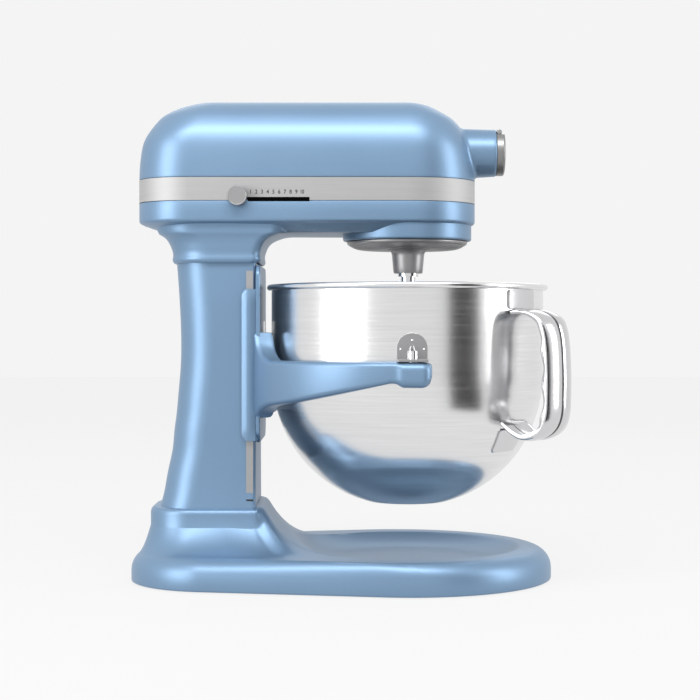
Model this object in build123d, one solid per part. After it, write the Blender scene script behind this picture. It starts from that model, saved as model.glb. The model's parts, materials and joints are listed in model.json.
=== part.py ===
from build123d import *
import os
from math import acos, asin, atan, cos, degrees, pi, radians, sin, sqrt, tan

os.makedirs("parts", exist_ok=True)

# Stand mixer with a bowl lift. Millimetres. The origin is on the table under the bowl's axis,
# +X is the front with the attachment hub, +Z is up.

# ---- Fits ----
running_fit = 0.05
slide_gap = 0.3
screw_fit = 0.05

# ---- Sizes that most others are placed from ----
bowl_radius = 119.3
column_half_width = 46.0
column_top = 275.0
gear_module = 2.0
ring_teeth = 40
head_radius = gear_module * ring_teeth / 2 + 19.5
bowl_to_column = 11.7
column_front = -(bowl_radius + bowl_to_column)

# ---- Base ----
base_front_radius = bowl_radius + 6.7
collar_back = column_front - 92.5
base_back = collar_back - 16.3
base_half_width = 98.0
base_corner_radius = 78.0
base_wall = 6.0
base_rim = 28.0
base_rounding = 17.5
base_hollow_top = 14.0
foot_gap = 1.0
foot_radius = 12.0
foot_height = 4.0
recess_radius = bowl_radius - 19.3
recess_floor = 17.0
collar_front = column_front + 13.0
collar_half_width = column_half_width + 8.0
collar_top = 65.0
collar_skirt_top = 46.0
collar_skirt_reach = 10.0
collar_corner = 34.0

# ---- Column ----
column_foot_back = column_front - 83.5
column_waist_back = column_front - 67.0
column_head_back = column_front - 70.0
column_wall = 4.0
column_back_corner = 28.0
flange_thickness = 8.0
bolt_radius = 4.0
inlet_radius = 7.0
inlet_z = 96.0
rail_thickness = 1.6
rail_width = 6.0
rail_bottom = collar_top + 8.0
rail_top = column_top - 7.0

# ---- Bowl lift ----
lift_travel = 48.0
lever_swing = 120.0
lift_shaft_radius = 6.0
lift_shaft_x = column_front - 24.0
lift_shaft_z = 174.0
lift_pin_radius = 3.5
lug_half_width = 8.0
lug_height = 22.0
lever_reach = 84.0
lever_thickness = 6.0
lever_side = column_half_width + 7
yoke_plate = 3.7
yoke_half_width = column_half_width + rail_thickness + slide_gap + yoke_plate
yoke_bottom = 121.0
yoke_top = column_top - 2.0
yoke_flange_back = column_front - 11.7
yoke_flange_bottom = 122.8
yoke_flange_top = 252.4
arm_inner_radius = bowl_radius + 5.2
arm_outer_radius = arm_inner_radius + 19.0
arm_top = 191.7
arm_root_bottom = 153.0
arm_end_bottom = 171.5
arm_end = 17.0
pin_radius = 4.0
pin_height = 9.0

# ---- Bowl ----
bowl_wall = 1.5
bowl_top = 257.0
bowl_straight_to = 184.0
bowl_bottom = 66.6
bowl_curve_low = bowl_bottom - 3.6
bowl_curve_power = 2.1
rim_roll_radius = 2.65
bracket_width = 25.4
bracket_plate = 2.5
bracket_top = 215.4
handle_angle = -38.5
handle_reach = bowl_radius + 40.7
handle_width = 38.0
handle_strap = 4.0
handle_top = 236.0
handle_bottom = 124.0
handle_bend = 17.0

# ---- Head ----
head_back = column_front - 103.0
head_corner_radius = 45.0
head_wall = 4.0
head_bottom = column_top + 26.0
band_bottom = head_bottom + 26.5
band_top = band_bottom + 19.5
band_thickness = 1.8
housing_rim_top = band_bottom + 9.5
head_top = band_top + 72.0
head_top_rounding = 30.0
neck_back = column_head_back - 3.4
neck_front = column_front + 4.0
neck_half_width = column_half_width + 4.0
boss_radius = head_radius - 3.0
boss_bottom = head_bottom - 6.0
hub_height = band_top + 26.0
hub_radius = 20.6
hub_face = head_radius + 18.4
hub_inner_end = 34.0
hub_sleeve_radius = hub_radius - 4.6
hub_bore_radius = hub_sleeve_radius - 3.0
drive_head_radius = hub_bore_radius - 4.0
drive_head_length = 10.0
cover_thickness = 7.1
cover_radius = hub_radius - 0.6
hinge_barrel_radius = 2.4
hinge_pin_radius = 1.1

# ---- Speed control ----
knob_x = column_front - 14.4
knob_z = band_bottom + 3.3
knob_radius = 8.25
knob_travel = 54.5
slot_height = 3.5
slot_z = band_bottom + 0.8
stem_width = 4.0

# ---- Gears ----
pressure_angle = 20.0
tooth_addendum = 0.8
tooth_dedendum = 1.15
tooth_backlash = 0.35
planet_teeth = 15
centre_teeth = 36
pinion_teeth = 16
bevel_module = 1.5
hub_bevel_teeth = 16
wheel_bevel_teeth = 28
motor_bevel_teeth = 12
bevel_toe_share = 0.7
planet_offset = gear_module * (ring_teeth - planet_teeth) / 2
train_offset = gear_module * (centre_teeth + pinion_teeth) / 2
ring_gear_radius = gear_module * ring_teeth / 2 + 6.0
ring_gear_lip = 3.0
ring_gear_bottom = boss_bottom + 2.0
ring_gear_top = ring_gear_bottom + 12.0
lower_plate_z = ring_gear_top + 2.0
plate_thickness = 4.0
spur_bottom = lower_plate_z + plate_thickness + 2.0
spur_height = 9.0
shaft_radius = 6.0
planet_disc_radius = boss_radius - 3.5
planet_disc_bottom = boss_bottom - 7.5
planet_boss_radius = 13.6
planet_boss_bottom = planet_disc_bottom - 20.5
beater_shaft_radius = 6.35
beater_shaft_bottom = planet_boss_bottom - 45.0
shaft_nose_radius = 6.0
shaft_nose_length = 10.0
cross_pin_z = beater_shaft_bottom + 14.0
cross_pin_radius = 2.0
cross_pin_length = 23.0
collar_radius = 9.0
collar_length = 3.0

# ---- Gear case and motor ----
upper_plate_z = band_bottom + 12.5
post_radius = 4.5
bushing_radius = 9.5
motor_height = band_top + 9.0
stator_radius = 42.0
stator_bore = 25.5
stator_front = -train_offset - 66.0
stator_back = stator_front - 54.0
core_radius = 24.5
armature_radius = 5.0


def block(x1, x2, y1, y2, z1, z2):
    """Box between six faces."""
    centre = Pos((x1 + x2) / 2, (y1 + y2) / 2, (z1 + z2) / 2)
    return centre * Box(x2 - x1, y2 - y1, z2 - z1)


def post(radius, z1, z2, x=0.0, y=0.0):
    """Upright cylinder."""
    return Pos(x, y, (z1 + z2) / 2) * Cylinder(radius, z2 - z1)


def rod_x(radius, x1, x2, y, z):
    """Cylinder along X."""
    return Pos((x1 + x2) / 2, y, z) * Rot(0, 90, 0) * Cylinder(radius, x2 - x1)


def rod_y(radius, y1, y2, x, z):
    """Cylinder along Y."""
    return Pos(x, (y1 + y2) / 2, z) * Rot(90, 0, 0) * Cylinder(radius, y2 - y1)


def rounded_plan(x1, x2, half_width, corner):
    """Plan outline of a rounded rectangle."""
    return Pos((x1 + x2) / 2, 0) * RectangleRounded(x2 - x1, 2 * half_width, corner)


def slab(plan, z1, z2):
    """Plan outline raised between two heights."""
    return Pos(0, 0, z1) * extrude(plan, z2 - z1)


def outward_edges(solid, z):
    """Edges of a solid that lie at one height."""
    return solid.edges().filter_by_position(Axis.Z, z - 0.01, z + 0.01)


def mirrored(x, y):
    """A point and its mirror image across the middle plane."""
    return [(x, y), (x, -y)]


def together(pieces):
    """Separate solids kept as one group."""
    solids = []
    for piece in pieces:
        solids.extend(piece.solids())
    return Compound(children=solids)


def save(name, shape):
    export_step(shape, "parts/" + name + ".step")
    print(name, len(shape.solids()), round(shape.volume))


def egg_plan(front_radius, back, half_width, corner, inset=0.0):
    """Plan with a round front about the bowl axis and two rounded back corners."""
    corner_x = back + corner
    corner_y = half_width - corner
    circles = Circle(front_radius - inset).edges()
    for side in (1, -1):
        circles += (Pos(corner_x, side * corner_y) * Circle(corner - inset)).edges()
    return make_face(make_hull(circles).edges())


def base_plan(inset=0.0):
    return egg_plan(base_front_radius, base_back, base_half_width, base_corner_radius, inset)


def head_plan(inset=0.0):
    return egg_plan(head_radius, head_back, head_radius, head_corner_radius, inset)


# ---- Base: casting, feet and bolts ----

foot_places = mirrored(0.62 * base_front_radius, 0.54 * base_front_radius)
foot_places += mirrored(base_back + 0.62 * base_corner_radius, 0.6 * base_half_width)
centre_foot_place = (0.0, 0.0)
column_bolt_places = mirrored(column_front - 22.0, column_half_width - 16.0)
column_bolt_places += mirrored(column_waist_back + 20.0, column_half_width - 26.0)


def make_base_casting():
    body = slab(base_plan(), foot_gap, base_rim)
    body = fillet(outward_edges(body, base_rim), base_rounding)
    skirt_low = Pos(0, 0, base_rim - 6) * rounded_plan(
        collar_back - collar_skirt_reach + 1, collar_front + collar_skirt_reach,
        collar_half_width + collar_skirt_reach, collar_corner + collar_skirt_reach)
    skirt_high = Pos(0, 0, collar_skirt_top) * rounded_plan(
        collar_back, collar_front, collar_half_width, collar_corner)
    body += loft([skirt_low, skirt_high])
    collar = rounded_plan(collar_back, collar_front, collar_half_width, collar_corner)
    body += slab(collar, collar_skirt_top, collar_top)
    body -= post(recess_radius, recess_floor, collar_top)
    body -= slab(base_plan(base_wall), foot_gap, base_hollow_top)
    collar_hollow = rounded_plan(collar_back + base_wall, collar_front - base_wall,
                                 collar_half_width - base_wall, collar_corner - base_wall)
    collar_hollow -= Pos(0, 0) * Circle(recess_radius + base_wall)
    body -= slab(collar_hollow, base_hollow_top - 1, collar_top - flange_thickness)
    for x, y in foot_places + [centre_foot_place]:
        body += post(foot_radius + 3, foot_gap, base_hollow_top + 1, x, y)
        body -= post(foot_radius + screw_fit, 0, foot_height, x, y)
    for x, y in foot_places:
        body -= post(2 + screw_fit, 0, foot_height + 8, x, y)
    for x, y in column_bolt_places:
        body -= post(bolt_radius + screw_fit, collar_top - 20, collar_top, x, y)
    return body


def make_feet():
    feet = []
    for x, y in foot_places:
        foot = post(foot_radius, 0, foot_height, x, y)
        foot -= post(2 + screw_fit, 0, foot_height, x, y)
        foot -= post(4.2, 0, 2.2, x, y)
        feet.append(foot)
    feet.append(post(foot_radius, 0, foot_height, *centre_foot_place))
    return together(feet)


def make_foot_screws():
    screws = []
    for x, y in foot_places:
        screws.append(post(4, 0.8, 2.2, x, y) + post(2, 2.2, foot_height + 7, x, y))
    return together(screws)


def bolts(places, z_head, z_end, head_up):
    """Bolts whose head bears on a face at z_head and whose shank runs to z_end."""
    direction = 1 if head_up else -1
    group = []
    for x, y in places:
        head_ends = sorted((z_head, z_head + direction * 5))
        shank_ends = sorted((z_head, z_end))
        group.append(post(bolt_radius + 3, *head_ends, x, y) + post(bolt_radius, *shank_ends, x, y))
    return together(group)


# ---- Column: casting and guide rails ----

def column_side(inset=0.0, z1=collar_top, z2=column_top):
    """Side outline of the column, flared at the foot of its back."""
    waist_z = collar_top + 0.55 * (column_top - collar_top)
    back = Spline((column_foot_back + inset, z1), (column_waist_back - 9 + inset, z1 + 40),
                  (column_waist_back + inset, waist_z), (column_head_back + inset, z2))
    front_x = column_front - inset
    rest = Polyline((column_head_back + inset, z2), (front_x, z2), (front_x, z1),
                    (column_foot_back + inset, z1))
    return make_face((back + rest).edges())


def column_solid(inset, z1, z2):
    """The column's body, or its hollow when it is inset."""
    side = Plane.XZ * column_side(inset, z1, z2)
    half = column_half_width - inset
    body = extrude(side, half, both=True)
    back_edges = [edge for edge in body.edges()
                  if edge.center().X < column_waist_back + 5
                  and abs(abs(edge.center().Y) - half) < 0.01]
    return fillet(back_edges, column_back_corner - inset)


def make_column():
    body = column_solid(0, collar_top, column_top)
    hollow_low = collar_top + flange_thickness
    hollow_high = column_top - flange_thickness
    cavity = column_solid(column_wall, collar_top, column_top)
    cavity = cavity & block(-300, 0, -100, 100, hollow_low, hollow_high)
    body -= cavity
    boss_side = column_half_width - 24
    body += rod_y(lift_shaft_radius + 5, boss_side, column_half_width + 1, lift_shaft_x, lift_shaft_z)
    body -= rod_y(lift_shaft_radius + running_fit, boss_side - 1, column_half_width + 2,
                  lift_shaft_x, lift_shaft_z)
    lug_z = lift_shaft_z + lift_travel / 2
    body -= block(column_front - column_wall - 1, column_front + 1,
                  -lug_half_width - 2, lug_half_width + 2,
                  lug_z - lift_travel - lug_height / 2 - 3, lug_z + lug_height / 2 + 3)
    for x, y in column_bolt_places:
        body -= post(bolt_radius + screw_fit, collar_top, hollow_low, x, y)
        body -= post(bolt_radius + screw_fit, hollow_high, column_top, x, y)
    body -= post(14, hollow_high, column_top, lift_shaft_x, 0)
    body -= rod_x(inlet_radius + screw_fit, column_foot_back - 5, column_waist_back + 12, 0, inlet_z)
    return body


def make_cord_inlet():
    ring = rod_x(inlet_radius, column_waist_back - 11, column_waist_back, 0, inlet_z)
    ring -= rod_x(3.6, column_waist_back - 12, column_waist_back + 1, 0, inlet_z)
    return ring


def make_guide_rails():
    rails = []
    for side in (1, -1):
        inner = side * column_half_width
        y1, y2 = sorted((inner, inner + side * rail_thickness))
        front = column_front - 2
        rails.append(block(front - rail_width, front, y1, y2, rail_bottom, rail_top))
    return together(rails)


# ---- Bowl lift: yoke, pins, lever, shaft and crank ----

def make_yoke():
    plate_back = column_front + slide_gap
    plate_front = plate_back + yoke_plate
    body = block(plate_back, plate_front, -yoke_half_width, yoke_half_width, yoke_bottom, yoke_top)
    inner = yoke_half_width - yoke_plate
    for side in (1, -1):
        y1, y2 = sorted((side * inner, side * yoke_half_width))
        body += block(yoke_flange_back, plate_front, y1, y2, yoke_flange_bottom, yoke_flange_top)
    arms = post(arm_outer_radius, arm_root_bottom, arm_top)
    arms -= post(arm_inner_radius, arm_root_bottom, arm_top)
    arms -= block(arm_end, 200, -200, 200, 0, 300)
    wedge_side = Plane.XZ * make_face(Polyline(
        (plate_front, arm_root_bottom), (-10, arm_end_bottom), (200, arm_end_bottom),
        (200, 0), (plate_front, 0), (plate_front, arm_root_bottom)))
    arms -= extrude(wedge_side, 200, both=True)
    arms -= block(-200, plate_front, -inner, inner, 0, 300)
    arms -= block(-200, yoke_flange_back + 4, -200, 200, 0, 300)
    body += arms
    lug_z = lift_shaft_z + lift_travel / 2
    crank_radius = lift_travel / 2 / sin(radians(lever_swing / 2))
    slot_room = 2.6
    lug_back = lift_shaft_x - crank_radius - lift_pin_radius - 4
    body += block(lug_back, plate_back + 1, -lug_half_width, lug_half_width,
                  lug_z - lug_height / 2, lug_z + lug_height / 2)
    slot_front = lift_shaft_x - crank_radius * cos(radians(lever_swing / 2)) + lift_pin_radius + 2
    body -= block(lug_back + 2, slot_front, -20, 20,
                  lug_z - lift_pin_radius - slot_room, lug_z + lift_pin_radius + slot_room)
    for y in pin_places():
        body -= post(pin_radius - 1 + screw_fit, arm_top - 10, arm_top, 0, y)
    return body


def pin_places():
    middle = (arm_inner_radius + arm_outer_radius) / 2
    return (middle, -middle)


def make_locating_pins():
    pins = []
    for y in pin_places():
        pin = post(pin_radius - 1, arm_top - 9, arm_top, 0, y)
        pins.append(pin + post(pin_radius, arm_top, arm_top + pin_height, 0, y))
    return together(pins)


def make_latch_spring():
    face = column_front + slide_gap + yoke_plate
    return block(face, face + 1.2, -9, 9, 197, 225)


def make_lift_shaft():
    return rod_y(lift_shaft_radius, lug_half_width + 4, lever_side + lever_thickness,
                 lift_shaft_x, lift_shaft_z)


def make_lift_crank():
    crank_radius = lift_travel / 2 / sin(radians(lever_swing / 2))
    start = radians(180 - lever_swing / 2)
    pin_x = lift_shaft_x + crank_radius * cos(start)
    pin_z = lift_shaft_z + crank_radius * sin(start)
    y1 = lug_half_width + 4
    y2 = y1 + 6
    arm = rod_y(lift_shaft_radius + 4, y1, y2, lift_shaft_x, lift_shaft_z)
    arm += rod_y(lift_pin_radius + 2, y1, y2, pin_x, pin_z)
    web = Pos(lift_shaft_x, (y1 + y2) / 2, lift_shaft_z) * Rot(0, -degrees(start), 0)
    arm += web * Pos(crank_radius / 2, 0, 0) * Box(crank_radius, y2 - y1, 2 * lift_pin_radius + 3)
    arm += rod_y(lift_pin_radius, -lug_half_width, y1, pin_x, pin_z)
    arm -= rod_y(lift_shaft_radius + 0.02, y1 - 1, y2 + 1, lift_shaft_x, lift_shaft_z)
    return arm


def make_lift_lever():
    y1 = lever_side
    y2 = y1 + lever_thickness
    lever = rod_y(12, column_half_width + 1 + slide_gap, y2, lift_shaft_x, lift_shaft_z)
    lever += block(lift_shaft_x - 7, lift_shaft_x + 7, y1, y2, lift_shaft_z, lift_shaft_z + lever_reach)
    lever -= rod_y(lift_shaft_radius + 0.02, column_half_width, y2 + 1, lift_shaft_x, lift_shaft_z)
    return lever


def make_lift_grip():
    low = lift_shaft_z + lever_reach - 44
    high = lift_shaft_z + lever_reach + 4
    y1 = lever_side
    middle = y1 + lever_thickness / 2
    grip = Pos(lift_shaft_x, middle, 0) * slab(RectangleRounded(24, 16, 7.5), low, high)
    grip = fillet(grip.edges().filter_by(GeomType.LINE, reverse=True), 2.5)
    grip -= block(lift_shaft_x - 7.02, lift_shaft_x + 7.02, y1 - 0.02, y1 + lever_thickness + 0.02,
                  low - 1, lift_shaft_z + lever_reach + 0.02)
    return grip


# ---- Bowl: bowl, brackets, rear pin and handle ----

def bowl_half_outline(grow, top):
    """Wall line from its top down: straight, then a squarish quarter ellipse cut off by the flat bottom."""
    radius = bowl_radius + grow
    depth = bowl_straight_to - bowl_curve_low + grow
    share = 2 / bowl_curve_power
    last = asin(((bowl_straight_to - bowl_bottom + grow) / depth) ** (1 / share))
    points = []
    for step in range(13):
        turn = last * step / 12
        points.append((radius * cos(turn) ** share, bowl_straight_to - depth * sin(turn) ** share))
    return Polyline((radius, top), (radius, bowl_straight_to)), Spline(*points), points[-1]


def bowl_envelope(grow):
    """Solid that fills the bowl's outside, grown by a small distance."""
    straight, curve, low = bowl_half_outline(grow, bowl_top)
    floor = Polyline(low, (0, bowl_bottom - grow), (0, bowl_top), (bowl_radius + grow, bowl_top))
    side = make_face((straight + curve + floor).edges())
    return revolve(Plane.XZ * side, Axis.Z)


def make_bowl():
    roll_z = bowl_top - rim_roll_radius
    top = roll_z
    straight, curve, low = bowl_half_outline(0, top)
    inner_straight, inner_curve, inner_low = bowl_half_outline(-bowl_wall, top)
    floor = Polyline(low, (0, bowl_bottom), (0, bowl_bottom + bowl_wall), inner_low)
    rim = Polyline((bowl_radius, top), (bowl_radius - bowl_wall, top))
    side = make_face((straight + curve + floor + inner_curve + inner_straight + rim).edges())
    side += Pos(bowl_radius + rim_roll_radius - bowl_wall, roll_z) * Circle(rim_roll_radius)
    return revolve(Plane.XZ * side, Axis.Z)


def make_bowl_brackets():
    brackets = []
    half = bracket_width / 2
    skin = bowl_envelope(0.1 + bracket_plate) - bowl_envelope(0.1)
    outer = arm_outer_radius - 1
    for side in (1, -1):
        y1, y2 = sorted((side * (bowl_radius - 3), side * (bowl_radius + 5)))
        bracket = skin & block(-half, half, y1, y2, arm_top, bracket_top)
        y1, y2 = sorted((side * (bowl_radius + 1), side * outer))
        bracket += block(-half, half, y1, y2, arm_top, arm_top + bracket_plate)
        rib = Plane.YZ * make_face(Polyline(
            (side * (bowl_radius + 1), arm_top + 1), (side * (outer - 18), arm_top + 1),
            (side * (bowl_radius + 1), bracket_top - 3), (side * (bowl_radius + 1), arm_top + 1)))
        bracket += extrude(rib, 1.5, both=True)
        middle = side * (arm_inner_radius + arm_outer_radius) / 2
        bracket -= post(pin_radius + slide_gap, arm_top - 1, bracket_top, 0, middle)
        bracket -= bowl_envelope(0.1)
        brackets.append(bracket)
    return together(brackets)


def make_bowl_rear_pin():
    return rod_x(pin_radius, -bowl_radius - 4.5, -bowl_radius, 0, 211) - bowl_envelope(0.1)


def make_bowl_handle():
    middle = (handle_top + handle_bottom) / 2
    height = handle_top - handle_bottom
    inner_end = bowl_radius / 2
    outer = Pos((inner_end + handle_reach) / 2, middle) * RectangleRounded(
        handle_reach - inner_end, height, handle_bend + handle_strap)
    inner = Pos((inner_end + handle_reach) / 2, middle) * RectangleRounded(
        handle_reach - inner_end - 2 * handle_strap, height - 2 * handle_strap, handle_bend)
    half = handle_width / 2
    handle = extrude(Plane.XZ * (outer - inner), half, both=True)
    skin = bowl_envelope(0.1 + bracket_plate)
    handle += skin & block(bowl_radius - 8, bowl_radius + 8, -half, half, handle_top - 3, bowl_top - 6)
    handle += skin & block(bowl_radius / 2, bowl_radius + 8, -half, half, 110, handle_bottom + 5)
    handle -= bowl_envelope(0.1)
    return Rot(0, 0, handle_angle) * handle


# ---- Head: housings, band and bolts ----

skin_step = band_thickness + 0.2
gear_plate_radius = head_radius - head_wall - 0.2
front_post_side = 0.65 * gear_plate_radius
gear_post_places = mirrored(-train_offset + 2, 40.0) + mirrored(front_post_side, front_post_side)
head_floor = head_bottom + head_wall


def slot_cut():
    room = stem_width / 2 + 1
    return block(knob_x - room, knob_x + knob_travel + room, -head_radius - 5, -head_radius + 6,
                 slot_z - slot_height / 2, slot_z + slot_height / 2)


def make_head_lower_housing():
    body = slab(head_plan(), head_bottom, band_bottom)
    body = fillet(outward_edges(body, head_bottom), 9)
    neck = rounded_plan(neck_back, neck_front, neck_half_width, column_back_corner + 3)
    body += slab(neck, column_top, head_bottom + 1)
    wide = rounded_plan(neck_back - 12, neck_front + 14, neck_half_width + 1, column_back_corner + 3)
    flare_low = Pos(0, 0, column_top + 14) * neck
    flare_high = Pos(0, 0, head_bottom + 1) * wide
    body += loft([flare_low, flare_high])
    body += post(boss_radius, boss_bottom, head_bottom + 1)
    body += slab(head_plan(skin_step), band_bottom - 1, housing_rim_top)
    body -= slab(head_plan(head_wall), head_floor, housing_rim_top)
    hollow = rounded_plan(neck_back + 7, neck_front - 7, neck_half_width - 6, column_back_corner - 4)
    body -= slab(hollow, column_top + flange_thickness, head_bottom)
    body -= block(-185, -140, -30, 30, head_bottom - 1, head_floor)
    body -= post(14, column_top, column_top + flange_thickness, lift_shaft_x, 0)
    body -= post(ring_gear_radius - ring_gear_lip, boss_bottom, head_floor)
    body -= post(ring_gear_radius + 0.02, ring_gear_bottom, head_floor)
    for x, y in column_bolt_places:
        body -= post(bolt_radius + screw_fit, column_top, column_top + flange_thickness, x, y)
    for x, y in gear_post_places:
        stud = post(post_radius + 1.5, head_floor - 1, lower_plate_z, x, y)
        stud &= slab(head_plan(head_wall - 0.5), head_floor - 1, lower_plate_z)
        stud -= post(ring_gear_radius + slide_gap, head_floor - 1, ring_gear_top + slide_gap)
        body += stud
        body -= post(2 + screw_fit, head_floor + 1, lower_plate_z, x, y)
    return body - slot_cut()


def make_trim_band():
    band = slab(head_plan(), band_bottom, band_top)
    band -= slab(head_plan(band_thickness), band_bottom, band_top)
    return band - slot_cut()


def make_head_top_cover():
    body = slab(head_plan(), band_top, head_top)
    body = fillet(outward_edges(body, head_top), head_top_rounding)
    skirt = slab(head_plan(skin_step), housing_rim_top + 0.2, band_top + 1)
    body += skirt
    cavity = slab(head_plan(head_wall), housing_rim_top, head_top - head_wall)
    cavity = fillet(outward_edges(cavity, head_top - head_wall), head_top_rounding - head_wall)
    body -= cavity
    body += rod_x(hub_radius, hub_inner_end, hub_face, 0, hub_height)
    pin_x, pin_z = hinge_place()
    for side in (1, -1):
        y1, y2 = sorted((side * 5.2, side * 8.0))
        ear = rod_y(hinge_barrel_radius, y1, y2, pin_x, pin_z)
        ear += block(hub_face - 1, pin_x, y1, y2, pin_z - hinge_barrel_radius,
                     pin_z + hinge_barrel_radius)
        body += ear
    body -= rod_y(hinge_pin_radius + 0.02, -9, 9, pin_x, pin_z)
    body -= rod_x(hub_sleeve_radius + 0.02, hub_inner_end - 1, hub_face + 1, 0, hub_height)
    return body - rod_y(3.5 + running_fit, 10, hub_radius + 5, clamp_x, hub_height)


clamp_x = hub_face - 12


def hinge_place():
    """Place of the hub cover's hinge pin in the side view."""
    return hub_face + slide_gap + hinge_barrel_radius, hub_height + hub_radius - hinge_barrel_radius


def make_hub_cover():
    back = hub_face + slide_gap
    pin_x, pin_z = hinge_place()
    cover = rod_x(cover_radius, back, back + cover_thickness, 0, hub_height)
    cover = fillet(cover.edges().group_by(Axis.X)[-1], 2)
    cover -= block(back - 1, back + 20, -30, 30, pin_z - hinge_barrel_radius - 0.4, pin_z + 20)
    cover += block(back, back + 2 * hinge_barrel_radius, -4.9, 4.9, pin_z - 6, pin_z)
    cover += rod_y(hinge_barrel_radius, -4.9, 4.9, pin_x, pin_z)
    return cover - rod_y(hinge_pin_radius + running_fit, -9, 9, pin_x, pin_z)


def make_hub_cover_pin():
    pin_x, pin_z = hinge_place()
    return rod_y(hinge_pin_radius, -8, 8, pin_x, pin_z)


def make_attachment_knob():
    knob = rod_y(11, hub_radius + 4.5, hub_radius + 17, clamp_x, hub_height)
    knob = fillet(knob.edges(), 2)
    return knob + rod_y(3.5, hub_bore_radius + 0.5, hub_radius + 6, clamp_x, hub_height)


def make_hub_sleeve():
    sleeve = rod_x(hub_sleeve_radius, hub_inner_end, hub_face - 0.5, 0, hub_height)
    sleeve -= rod_x(drive_head_radius + 1, hub_inner_end + 6, hub_face, 0, hub_height)
    bore_start = hub_inner_end + 6 + slide_gap + drive_head_length + 0.3
    sleeve -= rod_x(hub_bore_radius, bore_start, hub_face, 0, hub_height)
    sleeve -= rod_x(shaft_radius + running_fit, hub_inner_end - 1, hub_face, 0, hub_height)
    return sleeve - rod_y(3.5 + running_fit, 8, 20, clamp_x, hub_height)


def make_hub_drive_shaft():
    start = bevel_module * hub_bevel_teeth / 2 + 0.5
    shaft = rod_x(shaft_radius, start, hub_inner_end + 6.3, 0, hub_height)
    head_start = hub_inner_end + 6 + slide_gap
    head_end = head_start + drive_head_length
    shaft += rod_x(drive_head_radius, head_start, head_end, 0, hub_height)
    socket = block(head_start + 1, head_end + 1, -4, 4, hub_height - 4, hub_height + 4)
    return shaft - socket


# ---- Speed control ----

def make_speed_knob():
    outer = head_radius + 9.5
    knob = rod_y(knob_radius, -outer, -head_radius - 1.5, knob_x, knob_z)
    knob = fillet(knob.edges().group_by(Axis.Y)[0], 1.5)
    half = stem_width / 2
    return knob + block(knob_x - half, knob_x + half, -head_radius - 2, -head_radius + 9,
                        slot_z - 1.2, slot_z + 1.2)


def make_speed_slider():
    slider = block(knob_x - 12, knob_x + 12, -head_radius + 5.6, -head_radius + 9.5,
                   slot_z - 5, slot_z + 6)
    half = stem_width / 2 + 0.02
    return slider - block(knob_x - half, knob_x + half, -head_radius + 5, -head_radius + 10,
                          slot_z - 1.22, slot_z + 1.22)


def make_speed_slot_insert():
    plate = block(knob_x - 14, knob_x + knob_travel + 14, -head_radius + head_wall + 0.2,
                  -head_radius + head_wall + 1.2, slot_z - 7, slot_z + 7)
    return plate - slot_cut()


def control_board_room(gap=slide_gap):
    return block(knob_x - 6 - gap, knob_x + knob_travel + 6 + gap,
                 -head_radius + 10 - gap, -head_radius + 11.6 + gap, head_floor, band_top)


def make_control_board():
    return control_board_room(0)


# ---- Gears ----

def involute(angle):
    return tan(angle) - angle


def gear_face(teeth, inside_ring=False):
    """Spur outline with involute flanks and one tooth centred on +X. For a ring gear this is the
    outline of its opening, so the tooth thickness and the tip and root are exchanged."""
    pitch = gear_module * teeth / 2
    base = pitch * cos(radians(pressure_angle))
    up = tooth_dedendum if inside_ring else tooth_addendum
    down = tooth_addendum if inside_ring else tooth_dedendum
    tip = pitch + up * gear_module
    root = pitch - down * gear_module
    play = tooth_backlash / (4 * pitch) * (-1 if inside_ring else 1)
    half_tooth = pi / (2 * teeth) - play
    flank = []
    for step in range(5):
        radius = root + (tip - root) * step / 4
        flank_angle = acos(base / max(radius, base))
        half = half_tooth + involute(radians(pressure_angle)) - involute(flank_angle)
        flank.append((radius, half))
    return teeth_outline(teeth, flank)


def teeth_outline(teeth, flank):
    """Closed outline that repeats one flank, mirrored, for every tooth."""
    points = []
    for tooth in range(teeth):
        middle = 2 * pi * tooth / teeth
        for radius, half in flank:
            points.append((radius * cos(middle - half), radius * sin(middle - half)))
        for radius, half in reversed(flank):
            points.append((radius * cos(middle + half), radius * sin(middle + half)))
    return make_face(Polyline(*points, close=True))


def spur_gear(teeth, bore, z1, z2, x=0.0, y=0.0, turn=0.0):
    plan = gear_face(teeth) - Circle(bore + 0.02)
    return Pos(x, y, z1) * Rot(0, 0, turn) * extrude(plan, z2 - z1)


def bevel_gear(teeth, mate_teeth, bore, hub_length, place, gap_at_mesh):
    """Straight bevel gear about the local Z of its place, whose origin is where the shafts cross.
    Its teeth shrink towards that point, and its mate lies on the local X side."""
    pitch = bevel_module * teeth / 2
    heel = bevel_module * mate_teeth / 2
    cone = atan(pitch / heel)
    slant = sqrt(pitch * pitch + heel * heel)
    tip = heel * tan(cone + atan(tooth_addendum * bevel_module / slant))
    root = heel * tan(cone - atan(tooth_dedendum * bevel_module / slant))
    half_tooth = pi / (2 * teeth) - tooth_backlash / (4 * pitch)
    slope = tan(radians(pressure_angle)) * bevel_module / pitch
    flank = [(root, half_tooth + 0.9 * slope), (tip, half_tooth - 0.9 * slope)]
    big = teeth_outline(teeth, flank)
    turn = 180 / teeth if gap_at_mesh else 0
    toe = heel * bevel_toe_share
    small = teeth_outline(teeth, [(r * bevel_toe_share, half) for r, half in flank])
    gear = loft([Pos(0, 0, toe) * small, Pos(0, 0, heel) * big], ruled=True)
    gear += Pos(0, 0, heel + hub_length / 2) * Cylinder(0.72 * root, hub_length)
    middle = (toe + heel + hub_length) / 2
    gear -= Pos(0, 0, middle) * Cylinder(bore + 0.02, heel + hub_length - toe + 2)
    return place * Rot(0, 0, turn) * gear


def make_ring_gear():
    ring = post(ring_gear_radius, ring_gear_bottom, ring_gear_top)
    opening = Pos(0, 0, ring_gear_bottom) * Rot(0, 0, -90) * extrude(
        gear_face(ring_teeth, inside_ring=True), ring_gear_top - ring_gear_bottom)
    return ring - opening


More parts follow.
